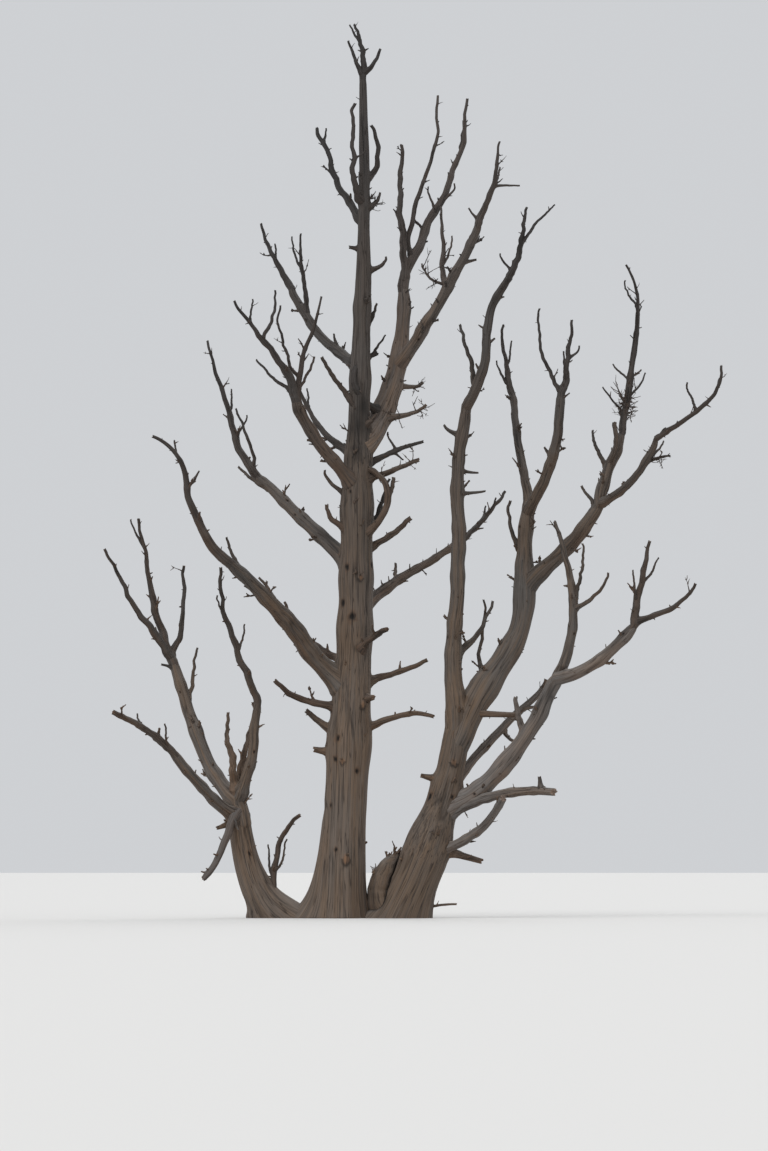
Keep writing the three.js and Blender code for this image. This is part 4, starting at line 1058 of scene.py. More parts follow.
@dataclass
class Shell:
    """Closed surfaces as arrays: their vertices and faces, and what their finish reads."""

    places: Array
    quads: Array
    fans: Array
    grain: Array
    wear: Array

    @staticmethod
    def of_tubes(rings: Array, grain: Array, wear: Array) -> "Shell":
        """Closes tubes: each is rows of columns, and each end is a fan round the mean of its last row.

        Args:
            rings: Places by tube, row and column.
            grain: The grain vector at each place.
            wear: The wear vector, with its painted shade, at each place.

        Returns:
            All the tubes as one shell, with its faces outwards.
        """
        tubes, rows, columns, _ = rings.shape

        def with_ends(values: Array) -> Array:
            """The values of a tube's grid, then those of its two end centres."""
            ends = [values[:, 0].mean(1, keepdims=True), values[:, -1].mean(1, keepdims=True)]
            return np.concatenate([values.reshape(tubes, -1, 3), *ends], axis=1).reshape(-1, 3)

        row, column = np.meshgrid(np.arange(rows - 1), np.arange(columns), indexing="ij")
        here, beside = row * columns + column, row * columns + (column + 1) % columns
        quads = np.stack([here, here + columns, beside + columns, beside], -1).reshape(-1, 4)
        first = np.arange(columns)
        after = (first + 1) % columns
        last = (rows - 1) * columns
        foot = np.stack([np.full(columns, rows * columns), first, after], -1)
        tip = np.stack([np.full(columns, rows * columns + 1), last + after, last + first], -1)
        start = np.arange(tubes)[:, None, None] * (rows * columns + 2)
        return Shell(
            places=with_ends(rings),
            quads=(quads + start).reshape(-1, 4),
            fans=(np.concatenate([foot, tip]) + start).reshape(-1, 3),
            grain=with_ends(grain),
            wear=with_ends(wear),
        )

    @staticmethod
    def join(shells: list["Shell"]) -> "Shell":
        """Joins several shells as one.

        Args:
            shells: The shells.

        Returns:
            The one shell, with its faces' numbers moved on.
        """
        starts = np.cumsum([0] + [len(shell.places) for shell in shells[:-1]])
        parts = {part.name: [getattr(shell, part.name) for shell in shells] for part in fields(Shell)}
        for name in ("quads", "fans"):
            parts[name] = [faces + start for faces, start in zip(parts[name], starts)]
        return Shell(**{name: np.concatenate(arrays) for name, arrays in parts.items()})

    def triangle_count(self) -> int:
        """How many triangles the shell has."""
        return 2 * len(self.quads) + len(self.fans)

    def piece(self, name: str, material: bpy.types.Material) -> bpy.types.Object:
        """Puts the shell into a Blender object at the origin.

        Args:
            name: The object's name.
            material: Its finish.

        Returns:
            The object, linked to the scene.
        """
        mesh = bpy.data.meshes.new(name)
        corners = np.concatenate([self.quads.ravel(), self.fans.ravel()])
        quad_starts = np.arange(len(self.quads)) * 4
        fan_starts = len(self.quads) * 4 + np.arange(len(self.fans)) * 3
        mesh.vertices.add(len(self.places))
        places = np.maximum(self.places, LOWEST)
        mesh.vertices.foreach_set("co", places.astype(np.float32).ravel())
        mesh.loops.add(len(corners))
        mesh.loops.foreach_set("vertex_index", corners.astype(np.int32))
        mesh.polygons.add(len(self.quads) + len(self.fans))
        mesh.polygons.foreach_set("loop_start", np.concatenate([quad_starts, fan_starts]).astype(np.int32))
        for label, values in (("grain", self.grain), ("wear", self.wear)):
            attribute = mesh.attributes.new(label, "FLOAT_VECTOR", "POINT")
            attribute.data.foreach_set("vector", values.astype(np.float32).ravel())
        mesh.update(calc_edges=True)
        mesh.validate()
        mesh.shade_smooth()
        mesh.materials.append(material)
        made = bpy.data.objects.new(name, mesh)
        bpy.context.scene.collection.objects.link(made)
        return made


@dataclass(frozen=True)
class SkinDetail:
    """How finely a sort of limb is meshed, and how deep its relief is. Metres, or shares of the radius."""

    ring_step: float
    column_step: float
    most_rings: int
    columns: tuple[int, int]
    lumps: float
    flutes: float
    grain: float
    checks: float
    splinters: float


SKIN_DETAIL = {
    Kind.STEM: SkinDetail(0.009, 0.0088, 588, (96, 160), 0.035, 0.044, 0.0022, 0.0085, 0.7),
    Kind.BOUGH: SkinDetail(0.009, 0.0075, 400, (24, 96), 0.050, 0.045, 0.0014, 0.0040, 0.7),
    Kind.TWIGS: SkinDetail(0.008, 0.0070, 260, (14, 28), 0.080, 0.060, 0.0007, 0.0010, 0.8),
    Kind.SIDE: SkinDetail(0.008, 0.0070, 140, (10, 26), 0.090, 0.060, 0.0006, 0.0008, 0.8),
}


@dataclass(frozen=True)
class NoiseLayer:
    """A layer of noise on a skin: its cells' width, their length along the grain, and its seed.

    With "by_girth" the width is a number of cells in the radius, and the length is in mean radii, so that
    the layer keeps the limb's proportions. Otherwise both are metres.
    """

    width: float
    run: float
    seed: int
    by_girth: bool = False


LUMPS = NoiseLayer(1.4, 3.2, seed=1, by_girth=True)
FLUTES = NoiseLayer(3.4, 11.0, seed=2, by_girth=True)
GRAIN = NoiseLayer(0.018, 0.34, seed=3)
CHECK_RIDGES = NoiseLayer(0.055, 0.75, seed=4)
CHECK_GAPS = NoiseLayer(0.3, 0.6, seed=5)
SPLINTER_SEED = 7
SCAR_SEED = 11
NOISE_STARTS = 997
# The least radius and step that a skin is worked out with, in metres.
THINNEST = 0.006


@dataclass(frozen=True)
class Bell:
    """A bell curve of x: height times e^(-sharpness |x - middle|^power).

    It falls to 1/e of its height at a width w from its middle, where its sharpness is w**-power.
    """

    height: float = 0.0
    sharpness: float = 1.0
    middle: float = 0.0
    power: int = 2

    def at(self, places: Array) -> Array:
        """The curve's value at each place."""
        return self.height * np.exp(-self.sharpness * np.abs(places - self.middle) ** self.power)


@dataclass(frozen=True)
class ScarRule:
    """A scar's bells over the distance from its middle, in radii. "below" keeps the dark below it."""

    relief: tuple[Bell, ...]
    dark: Bell
    warm: Bell
    below: bool = False


SCAR_RULES = {
    Scar.HOLE: ScarRule((Bell(0.22, 1.6**-2), Bell(-0.9, 1.4)), Bell(1.5, 0.9), Bell(0.35, 3.0, middle=1.2)),
    Scar.STUB: ScarRule(
        (Bell(0.5, 1.2**-2),), Bell(0.8, 6.0, middle=1.2), Bell(0.75, 0.95**-4, power=4), below=True
    ),
    Scar.CHAR: ScarRule((), Bell(0.75, 1.3**-2), Bell()),
}
# How much longer than wide a scar is, and how ragged its edge.
SCAR_STRETCH = 1.5
SCAR_RAGGED = 0.35

# Rings along a limb, and where its rounded end and its level foot begin, in radii.
FEWEST_RINGS = 8
ROUND_ROWS = 7
FIRST_ANGLE = 0.14
TIP_ROUND = 3.0
LEVEL_FOOT = 2.5
# Relief: the lumps that thin limbs have besides, the checks, and the knuckles where spurs stand.
THIN_LUMPS = 0.07
THIN_GIRTHS = (0.03, 0.13)
CHECK_WIDTH = 0.16
CHECK_RANGE = (-0.25, 0.35)
KNUCKLE_REACH = 1.1
KNUCKLE_SWELL = 0.14
KNUCKLE_GIRTH = 0.008
# Joints: how far they reach in the smaller limb's radii, how far they swell, and their painted crevice
# shade.
UNION_REACH = 1.15
UNION_SWELL = 0.25
UNION_STEP = 0.2
UNION_NEAR = 3.0
CREVICE_WIDTH = 0.22
CREVICE_LEAST = 0.002
CREVICE_FACING = 0.7
# The open crack beside a torn limb, in metres, and how dark its painted shade is.
CRACK_WIDTH = 0.020
CRACK_DEPTH = 0.018
CRACK_SHADE = 1.15
# A broken end's rings, each a step in radii and a width, and its splinters.
TIP_ROWS = ((0.14, 0.90), (0.24, 0.62), (0.28, 0.30))
TIP_CELLS = 3.1
TIP_JAG = 0.6
TIP_RAMP = 1.2


@dataclass(frozen=True)
class WearAndShadeRule:
    """How much light each kind of wear and painted shade takes, and how much warmth it gives."""

    thin_light: float = 0.72
    thin_girths: Pair = (0.008, 0.07)
    check_loss: float = 0.45
    # Painted shade in the crevices of joints.
    crevice_loss: float = 0.40
    dark_loss: float = 0.85
    least_light: float = 0.08
    crevice_warmth: float = 0.15
    end_warmth: float = 0.45
    end_light: float = 1.15


WEAR_AND_SHADE = WearAndShadeRule()


@dataclass
class LimbSkin:
    """The surface of one limb: its axis and radii, with lumps, flutes, grain, checks, scars and joints."""

    curve: LimbCurve
    detail: SkinDetail
    marks: tuple[Mark, ...] = ()
    knuckles: Array = field(default_factory=lambda: np.zeros(0))

    def stations(self) -> tuple[Array, Array]:
        """Where the rings stand.

        A rounded end has its rings at equal angles of the quarter ellipse that gives its radius. A limb that
        runs on from its parent has rings before its foot.

        Returns:
            The rings' shares of the length, and the share of the full radius that each has.
        """
        curve = self.curve
        rings = int(min(self.detail.most_rings, max(FEWEST_RINGS, curve.length / self.detail.ring_step)))
        tip_round = TIP_ROUND * curve.girth[-1] / curve.length if curve.is_forked() else 0.0
        shares = [np.linspace(0.0, 1.0 - tip_round, rings)]
        scales = [np.ones(rings)]
        if curve.runs_back:
            foot_round = curve.girth[0] / curve.length
            reach = BACK_REACH * foot_round
            steps = max(ROUND_ROWS, int(reach * curve.length / self.detail.ring_step))
            quarter = np.linspace(FIRST_ANGLE, math.pi / 2.0, ROUND_ROWS)[:-1]
            shares.insert(0, np.linspace(-reach, 0.0, steps, endpoint=False))
            scales.insert(0, np.ones(steps))
            shares.insert(0, -reach - foot_round * np.cos(quarter))
            scales.insert(0, np.sin(quarter))
        if tip_round:
            steps = max(ROUND_ROWS, int(tip_round * curve.length / self.detail.ring_step))
            quarter = np.linspace(FIRST_ANGLE, math.pi / 2.0, steps)[-2::-1]
            shares.append(1.0 - tip_round * (1.0 - np.cos(quarter)))
            scales.append(np.sin(quarter))
        return np.concatenate(shares), np.concatenate(scales)

    def noise(self, turn: Array, along: Array, girths: Array, layer: NoiseLayer) -> Array:
        """Noise over the skin, drawn out along the grain.

        Args:
            turn: The twisted angle at each place.
            along: The distance from the foot at each place.
            girths: Each ring's radius.
            layer: The noise's sizes.

        Returns:
            Numbers from -1 to 1.
        """
        size, run = np.maximum(girths, THINNEST)[:, None] / layer.width, layer.run
        if layer.by_girth:
            size, run = layer.width, layer.run * float(self.curve.girth.mean())
        shift = Chance(self.curve.name).state % NOISE_STARTS
        places = np.stack([np.cos(turn) * size, np.sin(turn) * size, along / run + shift], -1)
        return lattice_noise(places, layer.seed)

    def shell(self) -> Shell:
        """Works the surface out.

        The radius at each place is the limb's own, and its collar or root flare, times the end's rounding,
        and on it stand lumps, flutes, grain, checks, knuckles, scars and the swelling beside each joint.

        Returns:
            The closed surface.
        """
        curve, detail = self.curve, self.detail
        shares, scales = self.stations()
        columns = int(np.clip(2.0 * math.pi * curve.girth.max() / detail.column_step, *detail.columns))
        angles = np.arange(columns) * 2.0 * math.pi / columns
        frames = curve.frames(np.maximum(shares, 0.0))
        centres, girths, (along, over, across) = curve.run_back(shares, curve.points(shares), frames)
        distance = shares * curve.length
        if curve.parent is None:
            ease = 1.0 - smooth_step(distance, 0.0, LEVEL_FOOT * curve.girth[0])
            over = over - along * (ease * over[:, 2] / along[:, 2])[:, None]
            across = across - along * (ease * across[:, 2] / along[:, 2])[:, None]
        outward = over[:, None] * np.cos(angles)[:, None] + across[:, None] * np.sin(angles)[:, None]
        radii = np.repeat((girths + curve.collars(shares))[:, None], columns, axis=1)
        radii += self.root_flare(outward, centres[:, 2])
        turn = angles[None, :] + curve.twist() * distance[:, None]
        far = np.repeat(distance[:, None], columns, axis=1)
        knobbly = (detail.lumps + THIN_LUMPS * (1.0 - smooth_step(girths, *THIN_GIRTHS))) * girths
        relief = knobbly[:, None] * self.noise(turn, far, girths, LUMPS)
        relief += detail.flutes * girths[:, None] * self.noise(turn, far, girths, FLUTES)
        relief += detail.grain * self.noise(turn, far, girths, GRAIN)
        ridge = np.abs(self.noise(turn, far, girths, CHECK_RIDGES))
        gap = self.noise(turn, far, girths, CHECK_GAPS)
        checks = smooth_step(CHECK_WIDTH - ridge, 0.0, CHECK_WIDTH) * smooth_step(gap, *CHECK_RANGE)
        relief -= detail.checks * checks
        for share in self.knuckles:
            reach = KNUCKLE_REACH * np.maximum(girths, KNUCKLE_GIRTH)
            near = (distance - share * curve.length) / reach
            relief += (KNUCKLE_SWELL * girths * np.exp(-near * near))[:, None]
        scar_relief, dark, warm = self.scars(outward, shares, distance, angles, radii)
        radii = (radii + relief + scar_relief) * scales[:, None]
        places = centres[:, None] + outward * radii[..., None]
        swell, crevice, crack = self.joints(places, outward)
        places = places + outward * swell[..., None]
        # Painted shade in the open crack beside a torn limb.
        dark = dark + CRACK_SHADE * crack
        places, turn, far = self.with_tip(places, turn, far, along)
        wear = self.wear(places, girths, checks, crevice, dark, warm)
        bulk = np.concatenate([girths, np.full(len(places) - len(girths), girths[-1])])[:, None]
        first_turn, start = curve.grain_start()
        turn = turn + first_turn
        grain = np.stack([np.cos(turn) * bulk, np.sin(turn) * bulk, far + start], -1)
        return Shell.of_tubes(places[None], grain[None], wear[None])

    def root_flare(self, outward: Array, heights: Array) -> Array:
        """How far a stem stands out toward its roots: reach times facing^4, fading by e^(-height).

        Args:
            outward: The outward direction at each place.
            heights: Each ring's height above the ground.

        Returns:
            One distance for each place.
        """
        reach = np.zeros(outward.shape[:2])
        for root in self.curve.row.roots:
            facing = np.maximum(0.0, unit(outward) @ level_way(root.way))
            reach += root.reach * MM * facing**ROOT_SHARPNESS
        return reach * np.exp(-np.maximum(0.0, heights) / FLARE_HEIGHT)[:, None]

    def scars(
        self, outward: Array, shares: Array, distance: Array, angles: Array, radii: Array
    ) -> tuple[Array, Array, Array]:
        """The relief and colour of the scars.

        Each scar is a bell curve of the distance from its middle, longer along the grain than across it. A
        hole is a raised lip round a pit, a stub a low mound, and a burn has no relief.

        Args:
            outward: The outward direction at each place.
            shares: Each ring's share of the length.
            distance: Each ring's distance from the foot.
            angles: Each column's angle.
            radii: The radius at each place.

        Returns:
            The relief, how dark and how warm each place is.
        """
        relief, dark, warm = np.zeros((3, *radii.shape))
        for mark in self.marks:
            row = int(np.argmin(np.abs(shares - mark.share)))
            column = int(np.argmax(outward[row] @ level_way(mark.way)))
            size = mark.radius * MM
            off = np.angle(np.exp(1j * (angles - angles[column])))[None, :] * radii
            span = (distance - mark.share * self.curve.length)[:, None] / SCAR_STRETCH
            far = np.sqrt(off * off + span * span) / size
            ragged = np.stack([off / size, span * np.ones_like(off) / size, mark.way + 0.0 * off], -1)
            far = far * (1.0 + SCAR_RAGGED * lattice_noise(ragged, SCAR_SEED))
            rule = SCAR_RULES[mark.scar]
            relief += size * sum(bell.at(far) for bell in rule.relief)
            dark += rule.dark.at(far) * ((span < 0.0) | (not rule.below))
            warm += rule.warm.at(far)
        return relief, dark, warm

    def joints(self, places: Array, outward: Array) -> tuple[Array, Array, Array]:
        """How the skin swells to meet the limbs that join it.

        Beside another limb whose skin is b away, a joint of reach k swells by (k / 4)(1 - |b| / k)^2, which
        is what a smooth union of the two gives. Where the two skins face the same way it doesn't swell: it
        is multiplied by 1 less the cosine between their outward directions, up to 1.

        Args:
            places: The skin's places by ring and column.
            outward: The outward direction at each place.

        Returns:
            The swelling, the painted shade of a crevice at each place, and how deep in an open crack,
            from 0 to 1.
        """
        swell, crevice, crack = np.zeros((3, *places.shape[:2]))
        parents = [self.curve.parent] if self.curve.parent else []
        for other in parents + self.curve.children:
            child = self.curve if other is self.curve.parent else other
            reach = UNION_REACH * float(child.girth[0])
            step = max(THINNEST, UNION_STEP * reach)
            shares = np.linspace(0.0, 1.0, max(FEWEST_RINGS, int(other.length / step)))
            points = other.points(shares)
            girths = other.girths(shares) + other.collars(shares)
            near = UNION_NEAR * (child.parent_girth + UNION_NEAR * reach)
            close = np.linalg.norm(points - child.foot, axis=1) < near
            points, girths = points[close], girths[close]
            margin = girths.max() + reach
            inside = np.all((places > points.min(0) - margin) & (places < points.max(0) + margin), axis=-1)
            if not inside.any():
                continue
            gaps = np.linalg.norm(places[inside][:, None] - points[None], axis=-1) - girths[None]
            nearest = gaps.argmin(1)
            gap = np.abs(gaps[np.arange(len(gaps)), nearest])
            if child.name in TORN:
                # An open crack: a groove, with painted shade in it.
                crack[inside] = np.exp(-((gap / CRACK_WIDTH) ** 2))
                continue
            cosine = (unit(places[inside] - points[nearest]) * unit(outward[inside])).sum(-1)
            part = np.clip(1.0 - gap / reach, 0.0, 1.0)
            bulge = UNION_SWELL * reach * part * part * np.clip(1.0 - cosine, 0.0, 1.0)
            # Painted shade in the crevice where the two skins meet.
            shade = np.exp(-((gap / (CREVICE_WIDTH * reach + CREVICE_LEAST)) ** 2))
            shade = shade * np.clip(CREVICE_FACING - cosine, 0.0, 1.0)
            swell[inside] = np.maximum(swell[inside], bulge)
            crevice[inside] = np.maximum(crevice[inside], shade)
        return swell - CRACK_DEPTH * crack, crevice, crack

    def with_tip(self, places: Array, turn: Array, far: Array, along: Array) -> tuple[Array, Array, Array]:
        """Adds the broken end of a limb that nothing goes on from: narrowing rings with splinters.

        Args:
            places: The skin's places by ring and column.
            turn: The twisted angle at each place.
            far: The distance from the foot at each place.
            along: The direction along the limb at each ring.

        Returns:
            The places, angles and distances, with the end's rings after the others.
        """
        if self.curve.is_forked():
            return places, turn, far
        middle = places[-1].mean(0)
        spokes = places[-1] - middle
        girth = float(np.linalg.norm(spokes, axis=-1).mean())
        last = turn[-1]
        circle = np.stack([TIP_CELLS * np.cos(last), TIP_CELLS * np.sin(last), 0.0 * last], -1)
        jag = self.detail.splinters * girth * (TIP_JAG + lattice_noise(circle, SPLINTER_SEED))
        aim = along[-1]
        back = np.linalg.norm(places.mean(1) - middle, axis=-1)
        ramp = np.clip(1.0 - back / (TIP_RAMP * girth), 0.0, 1.0) ** 2
        places = places + ramp[:, None, None] * jag[None, :, None] * aim
        rows = [
            middle + spokes * wide + aim * (girth * step + jag * wide)[:, None] for step, wide in TIP_ROWS
        ]
        turn = np.concatenate([turn] + [turn[-1:]] * len(rows))
        far = np.concatenate([far] + [far[-1:] + girth * step for step, _ in TIP_ROWS])
        return np.concatenate([places, np.stack(rows)]), turn, far

    def wear(
        self, places: Array, girths: Array, checks: Array, crevice: Array, dark: Array, warm: Array
    ) -> Array:
        """The wear and shade vector: how light the wood is, how warm and how cool.

        Wood is darker where it is thin, in checks and scars, and painted shade darkens it high up, in
        crevices and in open cracks. It is warmer in crevices and round scars, and cooler high up.

        Args:
            places: The skin's places by ring and column, with the tip's.
            girths: The radius of each ring before the tip.
            checks: How deep in a check each place is, as for the next three.
            crevice: How much painted shade from a crevice.
            dark: How dark from scars, and from the painted shade in open cracks.
            warm: How warm from scars.

        Returns:
            Three numbers for each place.
        """
        extra = len(places) - len(girths)

        def tall(values: Array) -> Array:
            """The values, with the last row repeated over the tip."""
            return np.concatenate([values] + [values[-1:]] * extra)

        # Painted shade: the wood darkens high up, away from the ground's bounce light.
        light = painted_height_shade(places[..., 2])
        thick = smooth_step(tall(girths), *WEAR_AND_SHADE.thin_girths)[:, None]
        light *= WEAR_AND_SHADE.thin_light + (1.0 - WEAR_AND_SHADE.thin_light) * thick
        light *= 1.0 - WEAR_AND_SHADE.check_loss * tall(checks)
        # Painted shade in the crevices of joints.
        light *= 1.0 - WEAR_AND_SHADE.crevice_loss * tall(crevice)
        light *= np.clip(1.0 - WEAR_AND_SHADE.dark_loss * tall(dark), WEAR_AND_SHADE.least_light, 1.0)
        weather = self.weathering()
        light *= weather.light
        heat = np.clip(weather.warm + tall(warm) + WEAR_AND_SHADE.crevice_warmth * tall(crevice), 0.0, 1.0)
        cool = np.clip(weather.cool + smooth_step(places[..., 2], *COOL_HEIGHTS), 0.0, 1.0)
        if extra:
            heat[-extra:] = WEAR_AND_SHADE.end_warmth
            light[-extra:] *= WEAR_AND_SHADE.end_light
        return np.stack([light, heat, cool], -1)

    def weathering(self) -> Weathering:
        """The limb's own weathering: small limbs on the stems are ruddy, except torn ones.

        Returns:
            The weathering.
        """
        curve = self.curve
        if curve.kind is Kind.SIDE and curve.parent.kind is Kind.STEM and curve.name not in TORN:
            return RUDDY
        return WEATHERINGS.get(curve.name.split(" ")[0], PLAIN)


# Sprigs

SPUR_SPACING = {Kind.STEM: 0.9, Kind.BOUGH: 0.36, Kind.TWIGS: 0.38, Kind.SIDE: 0.7}
SPUR_STRETCH = (0.2, 0.76)
SPUR_LENGTH = (0.045, 0.130)
SPUR_LEAN = (0.35, 0.85)
SPUR_GIRTH = (0.006, 0.014)
SPUR_GIRTH_SHARE = 0.4
SPUR_CURL = 0.12
SPRIG_ROWS = 8
SPRIG_COLUMNS = 6
SPRIG_STRETCH = (0.06, 0.93)
SPRIG_GIRTHS = (0.7, 1.2)
SPRIG_LEAN = 0.9
SPRIG_CURL = 0.4
TANGLE_SHARES = (0.01, 0.99)
TANGLE_LENGTHS = (0.35, 1.3)
# A sprig's share of its limb's length, turn, length, lean, radius and curl.
PLAN_COLUMNS = 6


@dataclass(frozen=True)
class SprigRule:
    """How thickly a sort of limb is set with small broken sprigs, beside the source's own spurs."""

    spacing: float
    length: Pair
    girth: Pair
    girth_share: float
    skew: float


SPRIG_RULES = {
    Kind.STEM: SprigRule(0.40, (0.025, 0.100), (0.007, 0.014), 0.10, 1.8),
    Kind.BOUGH: SprigRule(0.17, (0.018, 0.080), (0.006, 0.012), 0.17, 2.6),
    Kind.TWIGS: SprigRule(0.17, (0.014, 0.085), (0.0055, 0.0095), 0.32, 3.2),
    Kind.SIDE: SprigRule(0.18, (0.012, 0.060), (0.0050, 0.0080), 0.36, 3.2),
}


@dataclass(frozen=True)
class SprigForm:
    """A sprig's shape and wear. "long" is metres, and the rest are shares of its length, radius or light."""

    rise: float = 0.16
    kink: float = 0.014
    curl_kink: float = 0.028
    long: float = 0.085
    small_count: int = 2
    small_row: int = 3
    small_ahead: float = 0.7
    small_length: Pair = (0.15, 0.4)
    small_girth: float = 0.7
    small_curl: float = 0.3
    collar: float = 0.8
    collar_fade: float = 2.2
    knobs: float = 0.16
    taper: Pair = (0.30, 0.80)
    tip_step: float = 0.5
    tip_girth: float = 0.55
    grain_starts: float = 90.0
    light: float = 0.78
    light_spread: float = 0.12
    heat_spread: float = 0.3


FORM = SprigForm()


@dataclass
class Sprigs:
    """Many small crooked rods at once: feet, aims, lengths, radii and how far each curls."""

    feet: Array
    aims: Array
    lengths: Array
    girths: Array
    curls: Array

    @staticmethod
    def on_limb(curve: LimbCurve, plan: tuple[Array, ...]) -> "Sprigs":
        """Seats sprigs in a limb, half way to its skin, aimed outwards and leaning towards its tip.

        Args:
            curve: The limb.
            plan: The sprigs' shares of its length, turns, lengths, leans, radii and curls.

        Returns:
            The sprigs.
        """
        shares, turns, lengths, leans, girths, curls = plan
        along, over, across = curve.frames(shares)
        outward = over * np.cos(turns)[:, None] + across * np.sin(turns)[:, None]
        radii = curve.girths(shares)
        sunk = SUNK_SHARE * radii
        return Sprigs(
            feet=curve.points(shares) + outward * sunk[:, None],
            aims=unit(outward + along * leans[:, None]),
            lengths=lengths + radii - sunk,
            girths=girths,
            curls=curls,
        )

    @staticmethod
    def join(beds: list["Sprigs"]) -> "Sprigs":
        """Several beds of sprigs as one."""
        names = [part.name for part in fields(Sprigs)]
        return Sprigs(**{name: np.concatenate([getattr(bed, name) for bed in beds]) for name in names})

    def paths(self, chance: np.random.Generator) -> tuple[Array, Array]:
        """The sprigs' axes: straight aim, a curl that grows with the square of the share, and seeded kinks.

        Args:
            chance: Where the seeded numbers come from.

        Returns:
            Points by sprig and row, and the direction square to each sprig's bend.
        """
        count = len(self.feet)
        share = np.linspace(0.0, 1.0, SPRIG_ROWS)
        side = unit(np.cross(self.aims, chance.normal(size=(count, 3))))
        length = self.lengths[:, None, None]
        ahead = self.aims[:, None] * share[:, None] * length
        curl = side[:, None] * (self.curls[:, None] * share * share)[..., None] * length
        rise = ALOFT * FORM.rise * (share * share)[:, None] * length
        kinks = chance.normal(size=(count, SPRIG_ROWS, 3)) * length
        kinks *= (FORM.kink + FORM.curl_kink * np.abs(self.curls))[:, None, None]
        kinks[:, :2] = 0.0
        paths = self.feet[:, None] + ahead + curl + rise + np.cumsum(kinks, axis=1)
        return paths, np.cross(self.aims, side)

    def shell(self, name: str, warmth: float) -> Shell:
        """The sprigs' surfaces: six-sided, swollen at the foot, knobbly, and blunt at the broken tip.

        Args:
            name: What the seeded chance is drawn for.
            warmth: How brown they are.

        Returns:
            The sprigs and the smaller sprigs on the longer of them, as one shell.
        """
        chance = chance_arrays(name + " sprigs")
        paths, square = self.paths(chance)
        shells = [self.rods(paths, square, chance, warmth)]
        long = np.flatnonzero(self.lengths > FORM.long)
        if len(long):
            pick = np.repeat(long, FORM.small_count)
            rows = chance.integers(FORM.small_row, SPRIG_ROWS - 1, size=len(pick))
            aims = unit(paths[pick, rows + 1] - paths[pick, rows])
            aside = unit(np.cross(aims, chance.normal(size=aims.shape)))
            least, more = FORM.small_length
            small = Sprigs(
                feet=paths[pick, rows],
                aims=unit(FORM.small_ahead * aims + aside),
                lengths=self.lengths[pick] * (least + more * chance.random(len(pick)) ** 2),
                girths=self.girths[pick] * FORM.small_girth,
                curls=chance.uniform(-FORM.small_curl, FORM.small_curl, len(pick)),
            )
            small_paths, small_square = small.paths(chance)
            shells.append(small.rods(small_paths, small_square, chance, warmth))
        return Shell.join(shells)

    def rods(self, paths: Array, square: Array, chance: np.random.Generator, warmth: float) -> Shell:
        """Carries a six-sided ring along each path.

        Args:
            paths: Points by sprig and row.
            square: The direction square to each sprig's bend.
            chance: Where the seeded numbers come from.
            warmth: How brown the sprigs are.

        Returns:
            The rods as one shell.
        """
        count = len(paths)
        share = np.linspace(0.0, 1.0, SPRIG_ROWS)
        angles = np.arange(SPRIG_COLUMNS) * 2.0 * math.pi / SPRIG_COLUMNS
        along = unit(np.gradient(paths, axis=1))
        over = unit(np.cross(along, np.repeat(square[:, None], SPRIG_ROWS, axis=1)))
        across = np.cross(over, along)
        fade = FORM.collar_fade * self.girths[:, None]
        collar = FORM.collar * np.exp(-share * self.lengths[:, None] / fade)
        knobs = 1.0 + FORM.knobs * chance.uniform(-1.0, 1.0, (count, SPRIG_ROWS))
        taper = chance.uniform(*FORM.taper, (count, 1))
        radii = self.girths[:, None] * (1.0 - taper * share) * (knobs + collar)
        tip = paths[:, -1:] + along[:, -1:] * radii[:, -1:, None] * FORM.tip_step
        paths = np.concatenate([paths, tip], axis=1)
        over, across = (np.concatenate([part, part[:, -1:]], axis=1) for part in (over, across))
        radii = np.concatenate([radii, radii[:, -1:] * FORM.tip_girth], axis=1)
        spokes = over[:, :, None] * np.cos(angles)[:, None] + across[:, :, None] * np.sin(angles)[:, None]
        rings = paths[:, :, None] + spokes * radii[..., None, None]
        start = chance.uniform(0.0, FORM.grain_starts, (count, 1))
        run = np.append(share, 1.0) * self.lengths[:, None] + start
        run = np.repeat(run[..., None], SPRIG_COLUMNS, axis=2)
        bulk = np.repeat(radii[..., None], SPRIG_COLUMNS, axis=2)
        grain = np.stack([np.cos(angles) * bulk, np.sin(angles) * bulk, run], -1)
        light = FORM.light + FORM.light_spread * chance.uniform(-1.0, 1.0, (count, 1, 1))
        # Painted shade: the sprigs darken high up, as the limbs do.
        light = painted_height_shade(rings[..., 2]) * light
        heat = warmth + FORM.heat_spread * chance.random((count, 1, 1)) * np.ones_like(light)
        wear = np.stack([light, np.clip(heat, 0.0, 1.0), smooth_step(rings[..., 2], *COOL_HEIGHTS)], -1)
        return Shell.of_tubes(rings, grain, wear)


def as_plan(rows: list[tuple[float, ...]]) -> tuple[Array, ...]:
    """One sprig's numbers in each row, turned into a plan: an array for each column, even without rows."""
    return tuple(np.array(rows).reshape(-1, PLAN_COLUMNS).T)


def source_spurs(curve: LimbCurve) -> tuple[Array, ...]:
    """The broken pegs of the solids' source, at the same seeded places.

    Args:
        curve: The limb that they stand on.

    Returns:
        Their shares of the length, turns, lengths, leans, radii and curls.
    """
    chance = Chance(curve.name + " spurs")
    count = int(curve.length / SPUR_SPACING[curve.kind])
    rows = []
    for index in range(count):
        share = SPUR_STRETCH[0] + SPUR_STRETCH[1] * (index + chance.draw()) / count
        turn = chance.draw() * 2.0 * math.pi
        length = SPUR_LENGTH[0] + (SPUR_LENGTH[1] - SPUR_LENGTH[0]) * chance.draw() ** 2
        lean = chance.draw(*SPUR_LEAN)
        girth = float(np.clip(curve.girths(np.array([share]))[0] * SPUR_GIRTH_SHARE, *SPUR_GIRTH))
        rows.append((share, turn, length, lean, girth, SPUR_CURL))
    return as_plan(rows)


